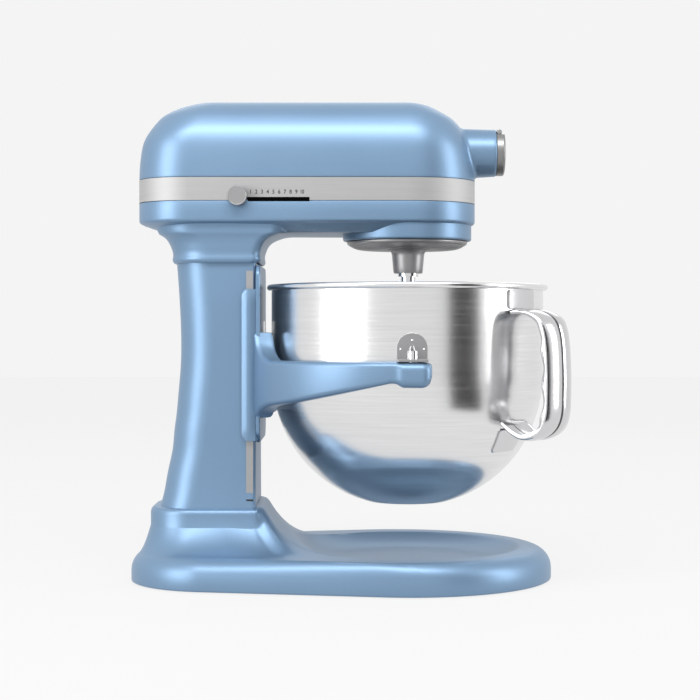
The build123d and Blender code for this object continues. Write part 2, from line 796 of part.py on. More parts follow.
def make_planet_pinion():
    return spur_gear(planet_teeth, beater_shaft_radius, ring_gear_bottom + 0.5,
                     ring_gear_top - 1, 0, -planet_offset, -90)


def make_planetary_housing():
    disc = post(planet_disc_radius, planet_disc_bottom, boss_bottom - 0.4)
    disc = fillet(outward_edges(disc, planet_disc_bottom), 6)
    disc += post(14, planet_disc_bottom + 1, ring_gear_bottom - 0.5)
    boss = post(planet_boss_radius, planet_boss_bottom, planet_disc_bottom + 2, 0, -planet_offset)
    boss = fillet(outward_edges(boss, planet_boss_bottom), 1.2)
    disc += boss
    disc -= post(shaft_radius + 0.02, planet_disc_bottom + 2, ring_gear_bottom, 0, 0)
    return disc - post(beater_shaft_radius + running_fit, 0, 400, 0, -planet_offset)


def make_beater_shaft():
    nose_top = beater_shaft_bottom + shaft_nose_length
    shaft = post(shaft_nose_radius, beater_shaft_bottom, nose_top, 0, -planet_offset)
    shaft = chamfer(outward_edges(shaft, beater_shaft_bottom), 1)
    shaft += post(beater_shaft_radius, nose_top, ring_gear_top, 0, -planet_offset)
    return shaft - cross_pin(0.02)


def cross_pin(gap=0.0):
    """Pin across the beater shaft that catches the slot in a beater."""
    half = cross_pin_length / 2 + gap
    return Pos(0, -planet_offset, cross_pin_z) * Rot(0, 90, 0) * Cylinder(cross_pin_radius + gap, 2 * half)


def make_shaft_collar():
    top = planet_boss_bottom - slide_gap
    collar = post(collar_radius, top - collar_length, top, 0, -planet_offset)
    return collar - post(beater_shaft_radius + 0.02, 0, 400, 0, -planet_offset)


def make_centre_shaft():
    top = hub_height - bevel_module * hub_bevel_teeth / 2 + 1.5
    return post(shaft_radius, planet_disc_bottom + 2, top)


def make_intermediate_shaft():
    top = motor_height - bevel_module * motor_bevel_teeth / 2 + 1
    return post(shaft_radius, lower_plate_z, top, -train_offset, 0)


def hub_apex(z_dir, x_dir):
    return Plane(origin=(0, 0, hub_height), x_dir=x_dir, z_dir=z_dir)


def motor_apex(z_dir, x_dir):
    return Plane(origin=(-train_offset, 0, motor_height), x_dir=x_dir, z_dir=z_dir)


def make_centre_bevel_gear():
    heel_z = hub_height - bevel_module * hub_bevel_teeth / 2
    hub_length = heel_z - upper_plate_z - plate_thickness - slide_gap
    return bevel_gear(hub_bevel_teeth, hub_bevel_teeth, shaft_radius, hub_length,
                      hub_apex((0, 0, -1), (1, 0, 0)), False)


def make_hub_bevel_gear():
    return bevel_gear(hub_bevel_teeth, hub_bevel_teeth, shaft_radius, 6,
                      hub_apex((1, 0, 0), (0, 0, -1)), True)


def make_intermediate_bevel_gear():
    heel_z = motor_height - bevel_module * motor_bevel_teeth / 2
    hub_length = heel_z - upper_plate_z - plate_thickness - slide_gap
    return bevel_gear(wheel_bevel_teeth, motor_bevel_teeth, shaft_radius, hub_length,
                      motor_apex((0, 0, -1), (-1, 0, 0)), False)


def make_motor_pinion():
    return bevel_gear(motor_bevel_teeth, wheel_bevel_teeth, armature_radius - 1, 6,
                      motor_apex((-1, 0, 0), (0, 0, -1)), True)


# ---- Gear case ----

def gear_plate(z1):
    plan = egg_plan(gear_plate_radius, -train_offset - 26, gear_plate_radius, 8)
    plate = slab(plan, z1, z1 + plate_thickness)
    for x in (0, -train_offset):
        plate -= post(bushing_radius + 0.02, z1, z1 + plate_thickness, x, 0)
    for x, y in gear_post_places:
        plate -= post(2 + screw_fit, z1, z1 + plate_thickness, x, y)
    return plate - control_board_room()


def make_gear_bushings():
    rings = []
    for z in (lower_plate_z, upper_plate_z):
        for x in (0, -train_offset):
            ring = post(bushing_radius, z, z + plate_thickness, x, 0)
            rings.append(ring - post(shaft_radius + running_fit, z, z + plate_thickness, x, 0))
    return together(rings)


def make_gear_posts():
    posts = []
    for x, y in gear_post_places:
        pillar = post(post_radius, lower_plate_z + plate_thickness, upper_plate_z, x, y)
        posts.append(pillar - post(2 + screw_fit, lower_plate_z, upper_plate_z, x, y))
    return together(posts)


def make_gear_screws():
    screws = []
    top = upper_plate_z + plate_thickness
    for x, y in gear_post_places:
        screws.append(post(2, head_floor + 2, top, x, y) + post(4, top, top + 2.5, x, y))
    return together(screws)


# ---- Motor ----

bracket_places = (stator_front + 2, stator_back - 26)
tie_bolt_side = 0.6 * stator_radius


def tie_bolt_places():
    sides = (tie_bolt_side, -tie_bolt_side)
    return [(y, motor_height + z) for y in sides for z in sides]


def make_motor_brackets():
    brackets = []
    for x in bracket_places:
        plate = block(x, x + plate_thickness, -44, 44, head_floor, motor_height + 40)
        plate -= rod_x(bushing_radius + 0.02, x, x + plate_thickness, 0, motor_height)
        for y, z in tie_bolt_places():
            plate -= rod_x(2 + screw_fit, x, x + plate_thickness, y, z)
        brackets.append(plate)
    return together(brackets)


def make_motor_bearings():
    rings = []
    for x in bracket_places:
        ring = rod_x(bushing_radius, x, x + plate_thickness, 0, motor_height)
        rings.append(ring - rod_x(armature_radius + running_fit, x, x + plate_thickness, 0, motor_height))
    return together(rings)


def make_motor_bolts():
    front = bracket_places[0] + plate_thickness
    group = []
    for y, z in tie_bolt_places():
        group.append(rod_x(2, bracket_places[1] - 2, front, y, z) + rod_x(4, front, front + 2.5, y, z))
    return together(group)


def make_motor_stator():
    ring = rod_x(stator_radius, stator_back, stator_front, 0, motor_height)
    ring -= rod_x(stator_bore, stator_back, stator_front, 0, motor_height)
    for y, z in tie_bolt_places():
        ring -= rod_x(2 + screw_fit, stator_back, stator_front, y, z)
    return ring


def make_armature_shaft():
    apex_gap = bevel_module * wheel_bevel_teeth / 2
    end = -train_offset - apex_gap
    shaft = rod_x(armature_radius, bracket_places[1] - 2, end - 6, 0, motor_height)
    return shaft + rod_x(armature_radius - 1, end - 7, end + 4, 0, motor_height)


def make_armature_core():
    core = rod_x(core_radius, stator_back + 2, stator_front - 2, 0, motor_height)
    for index in range(12):
        slot = Pos(0, 0, motor_height) * Rot(30 * index, 0, 0) * Pos(0, 0, core_radius - 3)
        core -= slot * Pos((stator_back + stator_front) / 2, 0, 0) * Box(60, 3, 10)
    return core - rod_x(armature_radius + 0.02, stator_back, stator_front, 0, motor_height)


def make_commutator():
    drum = rod_x(14, stator_back - 18, stator_back - 4, 0, motor_height)
    for index in range(12):
        slot = Pos(0, 0, motor_height) * Rot(30 * index, 0, 0) * Pos(0, 0, 14)
        drum -= slot * Pos(stator_back - 11, 0, 0) * Box(20, 0.8, 2)
    return drum - rod_x(armature_radius + 0.02, -400, 0, 0, motor_height)


def make_brush_holders():
    back = bracket_places[1] + plate_thickness
    holders = []
    for side in (1, -1):
        y1, y2 = sorted((side * 14.3, side * 25))
        brush = block(back + 5, back + 12, y1, y2, motor_height - 3, motor_height + 3)
        y1, y2 = sorted((side * 24, side * 30))
        holders.append(brush + block(back, back + 14, y1, y2, motor_height - 6, motor_height + 6))
    return together(holders)


def make_motor_fan():
    start = bracket_places[0] + plate_thickness + 6
    fan = rod_x(9, start, start + 12, 0, motor_height) + rod_x(35, start, start + 1.5, 0, motor_height)
    for index in range(10):
        blade = Pos(start + 6.5, 0, motor_height) * Rot(36 * index, 0, 0)
        fan += blade * Pos(0, 0, 21) * Box(11, 1.5, 27)
    return fan - rod_x(armature_radius + 0.02, start - 1, start + 13, 0, motor_height)


# ---- Every sub-part, in the order of assembly ----

sub_parts = {
    "base_casting": make_base_casting,
    "rubber_feet": make_feet,
    "foot_screws": make_foot_screws,
    "column_bolts": lambda: bolts(column_bolt_places, collar_top - flange_thickness,
                                  collar_top + flange_thickness, False),
    "column_casting": make_column,
    "cord_inlet": make_cord_inlet,
    "guide_rails": make_guide_rails,
    "bowl_support_yoke": make_yoke,
    "locating_pins": make_locating_pins,
    "latch_spring": make_latch_spring,
    "lift_shaft": make_lift_shaft,
    "lift_crank": make_lift_crank,
    "lift_lever": make_lift_lever,
    "lift_grip": make_lift_grip,
    "bowl": make_bowl,
    "bowl_brackets": make_bowl_brackets,
    "bowl_rear_pin": make_bowl_rear_pin,
    "bowl_handle": make_bowl_handle,
    "head_lower_housing": make_head_lower_housing,
    "head_bolts": lambda: bolts(column_bolt_places, column_top + flange_thickness,
                                column_top - flange_thickness, True),
    "trim_band": make_trim_band,
    "head_top_cover": make_head_top_cover,
    "hub_sleeve": make_hub_sleeve,
    "hub_drive_shaft": make_hub_drive_shaft,
    "hub_bevel_gear": make_hub_bevel_gear,
    "hub_cover": make_hub_cover,
    "hub_cover_pin": make_hub_cover_pin,
    "attachment_knob": make_attachment_knob,
    "speed_knob": make_speed_knob,
    "speed_slider": make_speed_slider,
    "speed_slot_insert": make_speed_slot_insert,
    "control_board": make_control_board,
    "planetary_housing": make_planetary_housing,
    "planet_pinion": make_planet_pinion,
    "beater_shaft": make_beater_shaft,
    "beater_cross_pin": cross_pin,
    "shaft_collar": make_shaft_collar,
    "ring_gear": make_ring_gear,
    "centre_shaft": make_centre_shaft,
    "centre_gear": lambda: spur_gear(centre_teeth, shaft_radius, spur_bottom,
                                     spur_bottom + spur_height),
    "centre_bevel_gear": make_centre_bevel_gear,
    "intermediate_shaft": make_intermediate_shaft,
    "intermediate_pinion": lambda: spur_gear(pinion_teeth, shaft_radius, spur_bottom,
                                             spur_bottom + spur_height, -train_offset, 0,
                                             180 / pinion_teeth),
    "intermediate_bevel_gear": make_intermediate_bevel_gear,
    "gear_plate_lower": lambda: gear_plate(lower_plate_z),
    "gear_plate_upper": lambda: gear_plate(upper_plate_z),
    "gear_bushings": make_gear_bushings,
    "gear_posts": make_gear_posts,
    "gear_screws": make_gear_screws,
    "motor_stator": make_motor_stator,
    "motor_brackets": make_motor_brackets,
    "motor_bearings": make_motor_bearings,
    "motor_bolts": make_motor_bolts,
    "brush_holders": make_brush_holders,
    "armature_shaft": make_armature_shaft,
    "armature_core": make_armature_core,
    "commutator": make_commutator,
    "motor_fan": make_motor_fan,
    "motor_pinion": make_motor_pinion,
}

for name, make in sub_parts.items():
    save(name, make())
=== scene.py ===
import json
import math
import bpy
import bmesh
import numpy as np
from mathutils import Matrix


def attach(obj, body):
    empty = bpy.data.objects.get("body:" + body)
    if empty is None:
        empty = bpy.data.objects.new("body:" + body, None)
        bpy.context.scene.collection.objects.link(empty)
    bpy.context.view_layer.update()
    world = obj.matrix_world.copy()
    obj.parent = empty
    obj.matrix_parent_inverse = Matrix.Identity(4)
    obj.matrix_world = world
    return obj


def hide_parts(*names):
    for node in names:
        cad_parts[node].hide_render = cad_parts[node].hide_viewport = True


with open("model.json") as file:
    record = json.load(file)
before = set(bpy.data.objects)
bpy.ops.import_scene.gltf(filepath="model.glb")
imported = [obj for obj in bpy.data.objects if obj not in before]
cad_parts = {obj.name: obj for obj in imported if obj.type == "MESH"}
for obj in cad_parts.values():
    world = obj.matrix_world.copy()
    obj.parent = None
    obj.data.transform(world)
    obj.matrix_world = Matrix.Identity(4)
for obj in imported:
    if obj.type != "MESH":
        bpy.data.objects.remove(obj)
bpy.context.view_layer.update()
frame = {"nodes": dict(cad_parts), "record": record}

mm = 0.001
print("stage: frame loaded")


# camera, floor and lights

camera = {"place": (-0.0503, -1.5, 0.220), "lens": 87.5, "shiftY": -0.0329}
lightRig = {
    "overhead": dict(place=(-0.1, -1.0, 1.5), aim=(-0.06, 0, 0.36), size=(1.7, 0.45), power=26),
    "left": dict(place=(-1.35, -0.95, 0.45), aim=(-0.15, 0, 0.25), size=(0.8, 1.4), power=19),
    "right": dict(place=(1.6, -0.30, 0.45), aim=(0.05, 0, 0.25), size=(0.5, 1.3), power=14),
    "behind": dict(place=(0.1, 1.7, 1.3), aim=(0, 0, 0.25), size=(1.8, 0.8), power=4),
    "world": 0.905,
}
darkCard = {"turn": 45.0, "reach": 2.1, "near": 0.40, "width": 1.0, "low": 0.004, "high": 1.5}


def addCamera():
    data = bpy.data.cameras.new("photoCamera")
    data.lens = camera["lens"]
    data.shift_y = camera["shiftY"]
    data.clip_start = 0.05
    eye = bpy.data.objects.new("photoCamera", data)
    eye.location = camera["place"]
    eye.rotation_euler = (math.pi / 2, 0, 0)
    bpy.context.collection.objects.link(eye)
    bpy.context.scene.camera = eye


def addLight(name, rig):
    from mathutils import Vector
    data = bpy.data.lights.new(name, "AREA")
    data.shape = "RECTANGLE"
    data.size, data.size_y = rig["size"]
    data.energy = rig["power"]
    lamp = bpy.data.objects.new(name, data)
    lamp.location = rig["place"]
    aim = Vector(rig["aim"]) - Vector(rig["place"])
    lamp.rotation_euler = aim.to_track_quat("-Z", "Y").to_euler()
    bpy.context.collection.objects.link(lamp)


def addDarkCard():
    # black studio cloth, standing and running over the floor, seen only as a stripe in the steel
    c = darkCard
    turn = math.radians(c["turn"])
    outward = np.array([math.sin(turn), -math.cos(turn)])
    across = np.array([math.cos(turn), math.sin(turn)])
    rows = []
    for reach, height in ((c["near"], c["low"]), (c["reach"], c["low"]), (c["reach"], c["high"])):
        half = across * c["width"] / 2 * reach / c["reach"]
        rows += [(*(outward * reach - half), height), (*(outward * reach + half), height)]
    mesh = bpy.data.meshes.new("studioFlag")
    mesh.from_pydata([tuple(map(float, p)) for p in rows], [], [(0, 1, 3, 2), (2, 3, 5, 4)])
    flag = bpy.data.objects.new("studioFlag", mesh)
    s = Shader("flagCloth")
    weave = s.noise(60, 2.0)
    s.set(color=s.blend(weave, (0.008, 0.008, 0.008), (0.014, 0.014, 0.014)), roughness=0.9, specular=0.1)
    mesh.materials.append(s.material)
    bpy.context.collection.objects.link(flag)
    flag.visible_camera = False
    flag.visible_diffuse = False
    flag.visible_shadow = False


def addWorld():
    bpy.context.scene.view_settings.view_transform = "Standard"
    world = bpy.data.worlds.new("studio")
    world.use_nodes = True
    back = world.node_tree.nodes["Background"]
    back.inputs["Color"].default_value = (1.0, 1.0, 1.0, 1)
    back.inputs["Strength"].default_value = lightRig["world"]
    bpy.context.scene.world = world


# shader maths: a socket that adds its own nodes when it is used in an expression

class Sock:
    def __init__(self, shader, out):
        self.shader = shader
        self.out = out

    def maths(self, operation, other=0.0, flip=False):
        values = {0: other, 1: self} if flip else {0: self, 1: other}
        return self.shader.node("ShaderNodeMath", dict(operation=operation), values)

    def __add__(self, other):
        return self.maths("ADD", other)

    def __sub__(self, other):
        return self.maths("SUBTRACT", other)

    def __mul__(self, other):
        return self.maths("MULTIPLY", other)

    def __rsub__(self, other):
        return self.maths("SUBTRACT", other, flip=True)

    __radd__ = __add__
    __rmul__ = __mul__


class Shader:
    def __init__(self, name):
        self.material = bpy.data.materials.new(name)
        self.material.use_nodes = True
        self.tree = self.material.node_tree
        self.surface = self.tree.nodes["Principled BSDF"]

    def node(self, kind, settings=None, values=None, out=0):
        made = self.tree.nodes.new(kind)
        for key, value in (settings or {}).items():
            setattr(made, key, value)
        for key, value in (values or {}).items():
            self.feed(made.inputs[key], value)
        return Sock(self, made.outputs[out])

    def feed(self, socket, value):
        if isinstance(value, Sock):
            self.tree.links.new(value.out, socket)
        else:
            socket.default_value = value

    def set(self, **values):
        for key, value in values.items():
            label = {"color": "Base Color", "roughness": "Roughness", "metallic": "Metallic",
                     "coat": "Coat Weight", "coatRoughness": "Coat Roughness", "normal": "Normal",
                     "specular": "Specular IOR Level", "aniso": "Anisotropic",
                     "emission": "Emission Color"}[key]
            if label == "Emission Color":
                self.surface.inputs["Emission Strength"].default_value = 1.0
            if label.endswith("Color") and not isinstance(value, Sock):
                value = (*value, 1)
            self.feed(self.surface.inputs[label], value)
        return self

    def place(self, scale=(1, 1, 1)):
        coords = self.node("ShaderNodeTexCoord", out=3)
        return self.node("ShaderNodeMapping", None, {"Vector": coords, "Scale": scale})

    def noise(self, scale, detail=2.0, stretch=(1, 1, 1)):
        return self.node("ShaderNodeTexNoise", None, {"Vector": self.place(stretch), "Scale": scale,
                                                      "Detail": detail})

    def blend(self, share, first, second):
        made = self.tree.nodes.new("ShaderNodeMix")
        made.data_type = "RGBA"
        self.feed(made.inputs[0], share)
        self.feed(made.inputs[6], first if isinstance(first, Sock) else (*first, 1))
        self.feed(made.inputs[7], second if isinstance(second, Sock) else (*second, 1))
        return Sock(self, made.outputs[2])

    def bump(self, height, strength, distance):
        return self.node("ShaderNodeBump", None, {"Height": height, "Strength": strength,
                                                  "Distance": distance})


def clamp01(sock):
    return sock.shader.node("ShaderNodeClamp", None, {0: sock})


# finishes

paint = {"color": (0.150, 0.243, 0.362), "dark": (0.138, 0.226, 0.340), "flake": 5200, "roughness": 0.40,
         "metallic": 0.55}


def bluePaint():
    s = Shader("satinBluePaint")
    flake = s.noise(paint["flake"], 1.0)
    cloud = s.noise(9, 2.0)
    tone = s.blend(clamp01((cloud - 0.35) * 2.5), paint["dark"], paint["color"])
    sparkle = clamp01((flake - 0.56) * 7)
    color = s.blend(sparkle * 0.22, tone, (0.36, 0.47, 0.60))
    rough = (cloud - 0.5) * 0.05 + paint["roughness"] + (flake - 0.5) * 0.06
    peel = s.noise(420, 2.0)
    s.set(color=color, roughness=rough, metallic=paint["metallic"], specular=0.3, coat=0.05,
          coatRoughness=0.35, normal=s.bump(peel, 0.03, 0.0004))
    return s.material


def ringBrushed(name, color, roughness, fine=1500, strength=0.08, depth=0.00006):
    # Brushing that runs level around the piece: noise that changes fast with height only.
    s = Shader(name)
    fineLines = s.noise(1.0, 3.0, (22, 22, fine))
    broad = s.noise(1.0, 2.0, (10, 10, fine * 0.22))
    lines = fineLines * 0.65 + broad * 0.35
    tone = s.blend(clamp01((lines - 0.3) * 2.4), tuple(c * 0.88 for c in color), color)
    s.set(color=tone, roughness=(lines - 0.5) * 0.14 + roughness, metallic=1.0, aniso=0.45,
          normal=s.bump(lines, strength, depth))
    return s.material


def polished(name, color, roughness, metallic=1.0):
    s = Shader(name)
    smudge = s.noise(38, 3.0)
    fine = s.noise(900, 1.0)
    s.set(color=s.blend(smudge, tuple(c * 0.94 for c in color), color),
          roughness=(smudge - 0.5) * 0.07 + roughness, metallic=metallic,
          normal=s.bump(fine, 0.02, 0.00002))
    return s.material


def moulded(name, color, roughness, specular=0.5):
    s = Shader(name)
    grain = s.noise(1600, 2.0)
    patch = s.noise(30, 2.0)
    s.set(color=s.blend(patch, tuple(c * 0.8 for c in color), color),
          roughness=(patch - 0.5) * 0.1 + roughness, specular=specular, normal=s.bump(grain, 0.12, 0.00008))
    return s.material


def satinCast(name, color, roughness):
    s = Shader(name)
    grain = s.noise(2400, 2.0)
    patch = s.noise(26, 2.0)
    s.set(color=s.blend(clamp01(grain * 0.6 + patch * 0.4), tuple(c * 0.82 for c in color), color),
          roughness=(grain - 0.5) * 0.14 + roughness, metallic=0.75,
          normal=s.bump(grain, 0.10, 0.00005))
    return s.material


finish = {
    "blue_paint": bluePaint(),
    "brushed_steel": ringBrushed("brushedSteel", (0.80, 0.80, 0.805), 0.20, 1900, 0.07, 0.00003),
    "brushed_trim": ringBrushed("brushedTrim", (0.41, 0.41, 0.41), 0.58, 2600, 0.10),
    "grey_metal": satinCast("greyCasting", (0.31, 0.31, 0.315), 0.40),
    "chrome": polished("polishedChrome", (0.72, 0.72, 0.74), 0.12),
    "steel": polished("machinedSteel", (0.42, 0.42, 0.43), 0.34),
    "bronze": polished("bearingBronze", (0.50, 0.33, 0.15), 0.36),
    "rubber": moulded("blackRubber", (0.018, 0.018, 0.018), 0.75),
    "black_plastic": moulded("blackPlastic", (0.012, 0.012, 0.013), 0.42),
    "board": moulded("greenBoard", (0.02, 0.13, 0.06), 0.5),
}
mirrorSteel = polished("polishedSteel", (0.66, 0.66, 0.67), 0.17)
capMetal = satinCast("greyCap", (0.24, 0.24, 0.24), 0.34)
# painted shade: a near-black, dull material standing in for the shade inside the speed lever's slot
slotPaintedShade = moulded("slotPaintedShade", (0.001, 0.001, 0.001), 0.9, 0.02)
ownFinish = {"hub_cover": capMetal, "guide_rails": satinCast("railMetal", (0.36, 0.36, 0.365), 0.42)}


def dressFrame():
    slotOf = {row["node"]: row["material_slot"] for row in frame["record"]["subparts"]}
    for name, node in frame["nodes"].items():
        node.data.materials.clear()
        node.data.materials.append(ownFinish.get(name) or finish[slotOf[name]])


# surfaces: grids of points in millimetres, joined into one mesh

def gridFaces(rows, cols, wrap, first):
    # Quads between neighbours of a rows by cols grid; wrap joins the last column to the first.
    r, c = np.meshgrid(np.arange(rows - 1), np.arange(cols if wrap else cols - 1), indexing="ij")
    a = r * cols + c
    b = r * cols + (c + 1) % cols
    return first + np.stack([a, b, b + cols, a + cols], axis=-1).reshape(-1, 4)


def makePiece(name, body, material, grids, wrap=True, replaces=(), sharp=35, caps=True):
    # One closed mesh from several grids. Each grid's first and last rows are closed by a fan.
    points, quads, fans, first = [], [], [], 0
    for grid in grids:
        rows, cols = grid.shape[:2]
        points.append(grid.reshape(-1, 3))
        quads.append(gridFaces(rows, cols, wrap, first))
        ends = [(0, True), (rows - 1, False)] if (caps and wrap) else []
        start = first
        first += rows * cols
        for row, back in ends:
            ring = np.arange(cols) + start + row * cols
            points.append(grid[row].mean(axis=0)[None, :])
            middle = np.full(cols, first)
            nextOne = np.roll(ring, -1)
            fan = [nextOne, ring, middle] if back else [ring, nextOne, middle]
            fans.append(np.stack(fan, axis=-1))
            first += 1
    faces = [tuple(f) for block in quads + fans for f in block.tolist()]
    mesh = bpy.data.meshes.new(name)
    mesh.from_pydata((np.concatenate(points) * mm).tolist(), [], faces)
    tidy = bmesh.new()
    tidy.from_mesh(mesh)
    bmesh.ops.remove_doubles(tidy, verts=tidy.verts, dist=2e-6)
    bmesh.ops.dissolve_degenerate(tidy, edges=tidy.edges, dist=1e-6)
    bmesh.ops.recalc_face_normals(tidy, faces=tidy.faces)
    tidy.to_mesh(mesh)
    tidy.free()
    mesh.polygons.foreach_set("use_smooth", np.ones(len(mesh.polygons), dtype=bool))
    mesh.set_sharp_from_angle(angle=math.radians(sharp))
    mesh.materials.append(material)
    piece = bpy.data.objects.new(name, mesh)
    bpy.context.collection.objects.link(piece)
    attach(piece, body)
    if replaces:
        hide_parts(*replaces)
    return piece


def arc(cx, cy, radius, start, end, count):
    turn = np.radians(np.linspace(start, end, count))
    return np.stack([cx + radius * np.cos(turn), cy + radius * np.sin(turn)], axis=-1)


def roundedOutline(back, front, half, backRadius, frontRadius, count=40, sideCount=36):
    # Plan of a box with its own corner radii at the back and the front, anticlockwise from the
    # middle of the front; every call gives the same number of points in the same order.
    fr, br = min(frontRadius, half), min(backRadius, half)
    flat = np.linspace(0, 1, 9)[:-1]
    side = np.linspace(0, 1, sideCount + 2)[1:-1]
    rise = np.stack([np.full(8, front), flat * (half - fr)], axis=-1)
    corner = arc(front - fr, half - fr, fr, 0, 90, count)
    top = np.stack([front - fr + side * (back + br - front + fr), np.full(sideCount, half)], axis=-1)
    rear = arc(back + br, half - br, br, 90, 180, count)
    fall = np.stack([np.full(8, back), (1 - flat) * (half - br)], axis=-1)
    upper = np.concatenate([rise, corner, top, rear, fall])
    lower = upper[1:][::-1] * (1, -1)
    return np.concatenate([upper, [(back, 0.0)], lower])


def ringAt(plan, z):
    # A plan outline raised to a height; z is a number or one value for each point.
    return np.concatenate([plan, np.broadcast_to(np.reshape(z, (-1, 1)), (len(plan), 1))], axis=1)


def insetPlan(plan, distance):
    # Outline moved inwards along its own normals.
    step = np.roll(plan, -1, axis=0) - np.roll(plan, 1, axis=0)
    normal = np.stack([step[:, 1], -step[:, 0]], axis=-1)
    normal /= np.maximum(np.linalg.norm(normal, axis=1, keepdims=True), 1e-9)
    return plan - normal * distance


def ease(x):
    # Smooth step from 0 to 1.
    x = np.clip(x, 0, 1)
    return x * x * (3 - 2 * x)


def curveThrough(places, values, at):
    # Smooth curve through a few chosen points: a natural cubic spline.
    x, y = np.asarray(places, float), np.asarray(values, float)
    n = len(x)
    h = np.diff(x)
    lhs, rhs = np.eye(n), np.zeros(n)
    for i in range(1, n - 1):
        lhs[i, i - 1:i + 2] = h[i - 1], 2 * (h[i - 1] + h[i]), h[i]
        rhs[i] = 6 * ((y[i + 1] - y[i]) / h[i] - (y[i] - y[i - 1]) / h[i - 1])
    m = np.linalg.solve(lhs, rhs)
    at = np.clip(np.asarray(at, float), x[0], x[-1])
    i = np.clip(np.searchsorted(x, at) - 1, 0, n - 2)
    a, b = (x[i + 1] - at) / h[i], (at - x[i]) / h[i]
    bend = ((a ** 3 - a) * m[i] + (b ** 3 - b) * m[i + 1]) * h[i] ** 2 / 6
    return a * y[i] + b * y[i + 1] + bend


def revolved(profile, count=192, centre=(0, 0), axis="z"):
    # Profile of (radius, height) points turned about an axis.
    turn = np.linspace(0, 2 * np.pi, count, endpoint=False)
    radius, along = profile[:, 0][:, None], profile[:, 1][:, None]
    first, second = radius * np.cos(turn), radius * np.sin(turn)
    along = np.broadcast_to(along, first.shape)
    if axis == "x":
        return np.stack([along, centre[0] + first, centre[1] + second], axis=-1)
    if axis == "y":
        return np.stack([centre[0] + first, along, centre[1] - second], axis=-1)
    return np.stack([centre[0] + first, centre[1] + second, along], axis=-1)


def roundedPath(corners, steps=8):
    # Open profile through (x, y, radius) corners, each one rounded by an arc-like curve.
    points = [corners[0][:2]]
    for before, here, after in zip(corners, corners[1:], corners[2:]):
        p, q, r = (np.array(c[:2], float) for c in (before, here, after))
        reach = here[2] if len(here) > 2 else 0
        if reach == 0:
            points.append(tuple(q))
            continue
        inward, outward = (p - q) / np.linalg.norm(p - q), (r - q) / np.linalg.norm(r - q)
        t = np.linspace(0, 1, steps)[:, None]
        bend = (1 - t) ** 2 * (q + inward * reach) + 2 * t * (1 - t) * q + t ** 2 * (q + outward * reach)
        points.extend(map(tuple, bend))
    points.append(corners[-1][:2])
    return np.array(points)


def outlineAt(plan, angles, centre):
    # Points where rays from a centre cross a closed outline, worked out from its own polar angles.
    rel = evenly(plan, 3000) - centre
    turn = np.unwrap(np.arctan2(rel[:, 1], rel[:, 0]))
    reach = np.hypot(rel[:, 0], rel[:, 1])
    turn = np.concatenate([turn - 2 * np.pi, turn, turn + 2 * np.pi])
    found = np.interp(angles, turn, np.tile(reach, 3))
    return centre + np.stack([found * np.cos(angles), found * np.sin(angles)], axis=-1)


def evenly(plan, samples):
    # The same closed outline with points at equal distances, on its straight runs too.
    closed = np.concatenate([plan, plan[:1]])
    along = np.concatenate([[0], np.cumsum(np.hypot(*np.diff(closed, axis=0).T))])
    at = np.linspace(0, along[-1], samples, endpoint=False)
    return np.stack([np.interp(at, along, closed[:, 0]), np.interp(at, along, closed[:, 1])], axis=-1)


def eggOutline(front, back, half, corner, samples=2400):
    # Round front about the origin, straight sides that widen or narrow, two rounded back corners.
    # The outline is the furthest point of three discs in each direction: their convex hull.
    turn = np.linspace(-np.pi, np.pi, samples, endpoint=False)
    rear = back + corner
    discs = [(0.0, 0.0, front), (rear, half - corner, corner), (rear, corner - half, corner)]
    ways = np.stack([np.cos(turn), np.sin(turn)], axis=-1)
    support = np.stack([cx * ways[:, 0] + cy * ways[:, 1] + r for cx, cy, r in discs])
    best = support.argmax(axis=0)
    centres = np.array([(cx, cy) for cx, cy, _ in discs])[best]
    radii = np.array([r for _, _, r in discs])[best]
    return evenly(centres + ways * radii[:, None], samples)


# base: rings from the outer edge over the rim, through the bowl's recess and up the column's collar

base = {"front": 126.0, "back": -239.8, "half": 98.0, "corner": 78.0, "low": 1.0, "rimTop": 28.0,
        "rounding": 17.5, "recess": 99.0, "recessDepth": 11.0, "recessSlope": 34.0,
        "collarBack": -223.5, "collarFront": -118.5, "collarHalf": 54.0, "collarTop": 65.0,
        "flareSide": 21.0, "flareSideShare": 0.64, "flareSideMost": 32.0, "flareFront": 28.0,
        "flareFrontReach": 23.0}


def baseHeight(x, y, toRim, toCollar, reach, frontness):
    # Rim quarter circle, plus a flare that falls off from the collar, less the bowl's recess.
    b = base
    over = np.clip(b["rounding"] - toRim, 0, b["rounding"])
    rim = b["rimTop"] - b["rounding"] + np.sqrt(b["rounding"] ** 2 - over ** 2)
    sideFlare = b["flareSide"] * np.clip(1 - toCollar / reach, 0, 1) ** 1.9
    frontFlare = b["flareFront"] * np.exp(-toCollar / b["flareFrontReach"])
    frontFlare *= 1 - ease(toCollar / 90)
    inside = np.clip((b["recess"] - np.hypot(x, y)) / b["recessSlope"], 0, 1)
    dip = b["recessDepth"] * (1 - (1 - inside) ** 2)
    return rim + sideFlare * (1 - frontness) + frontFlare * frontness - dip


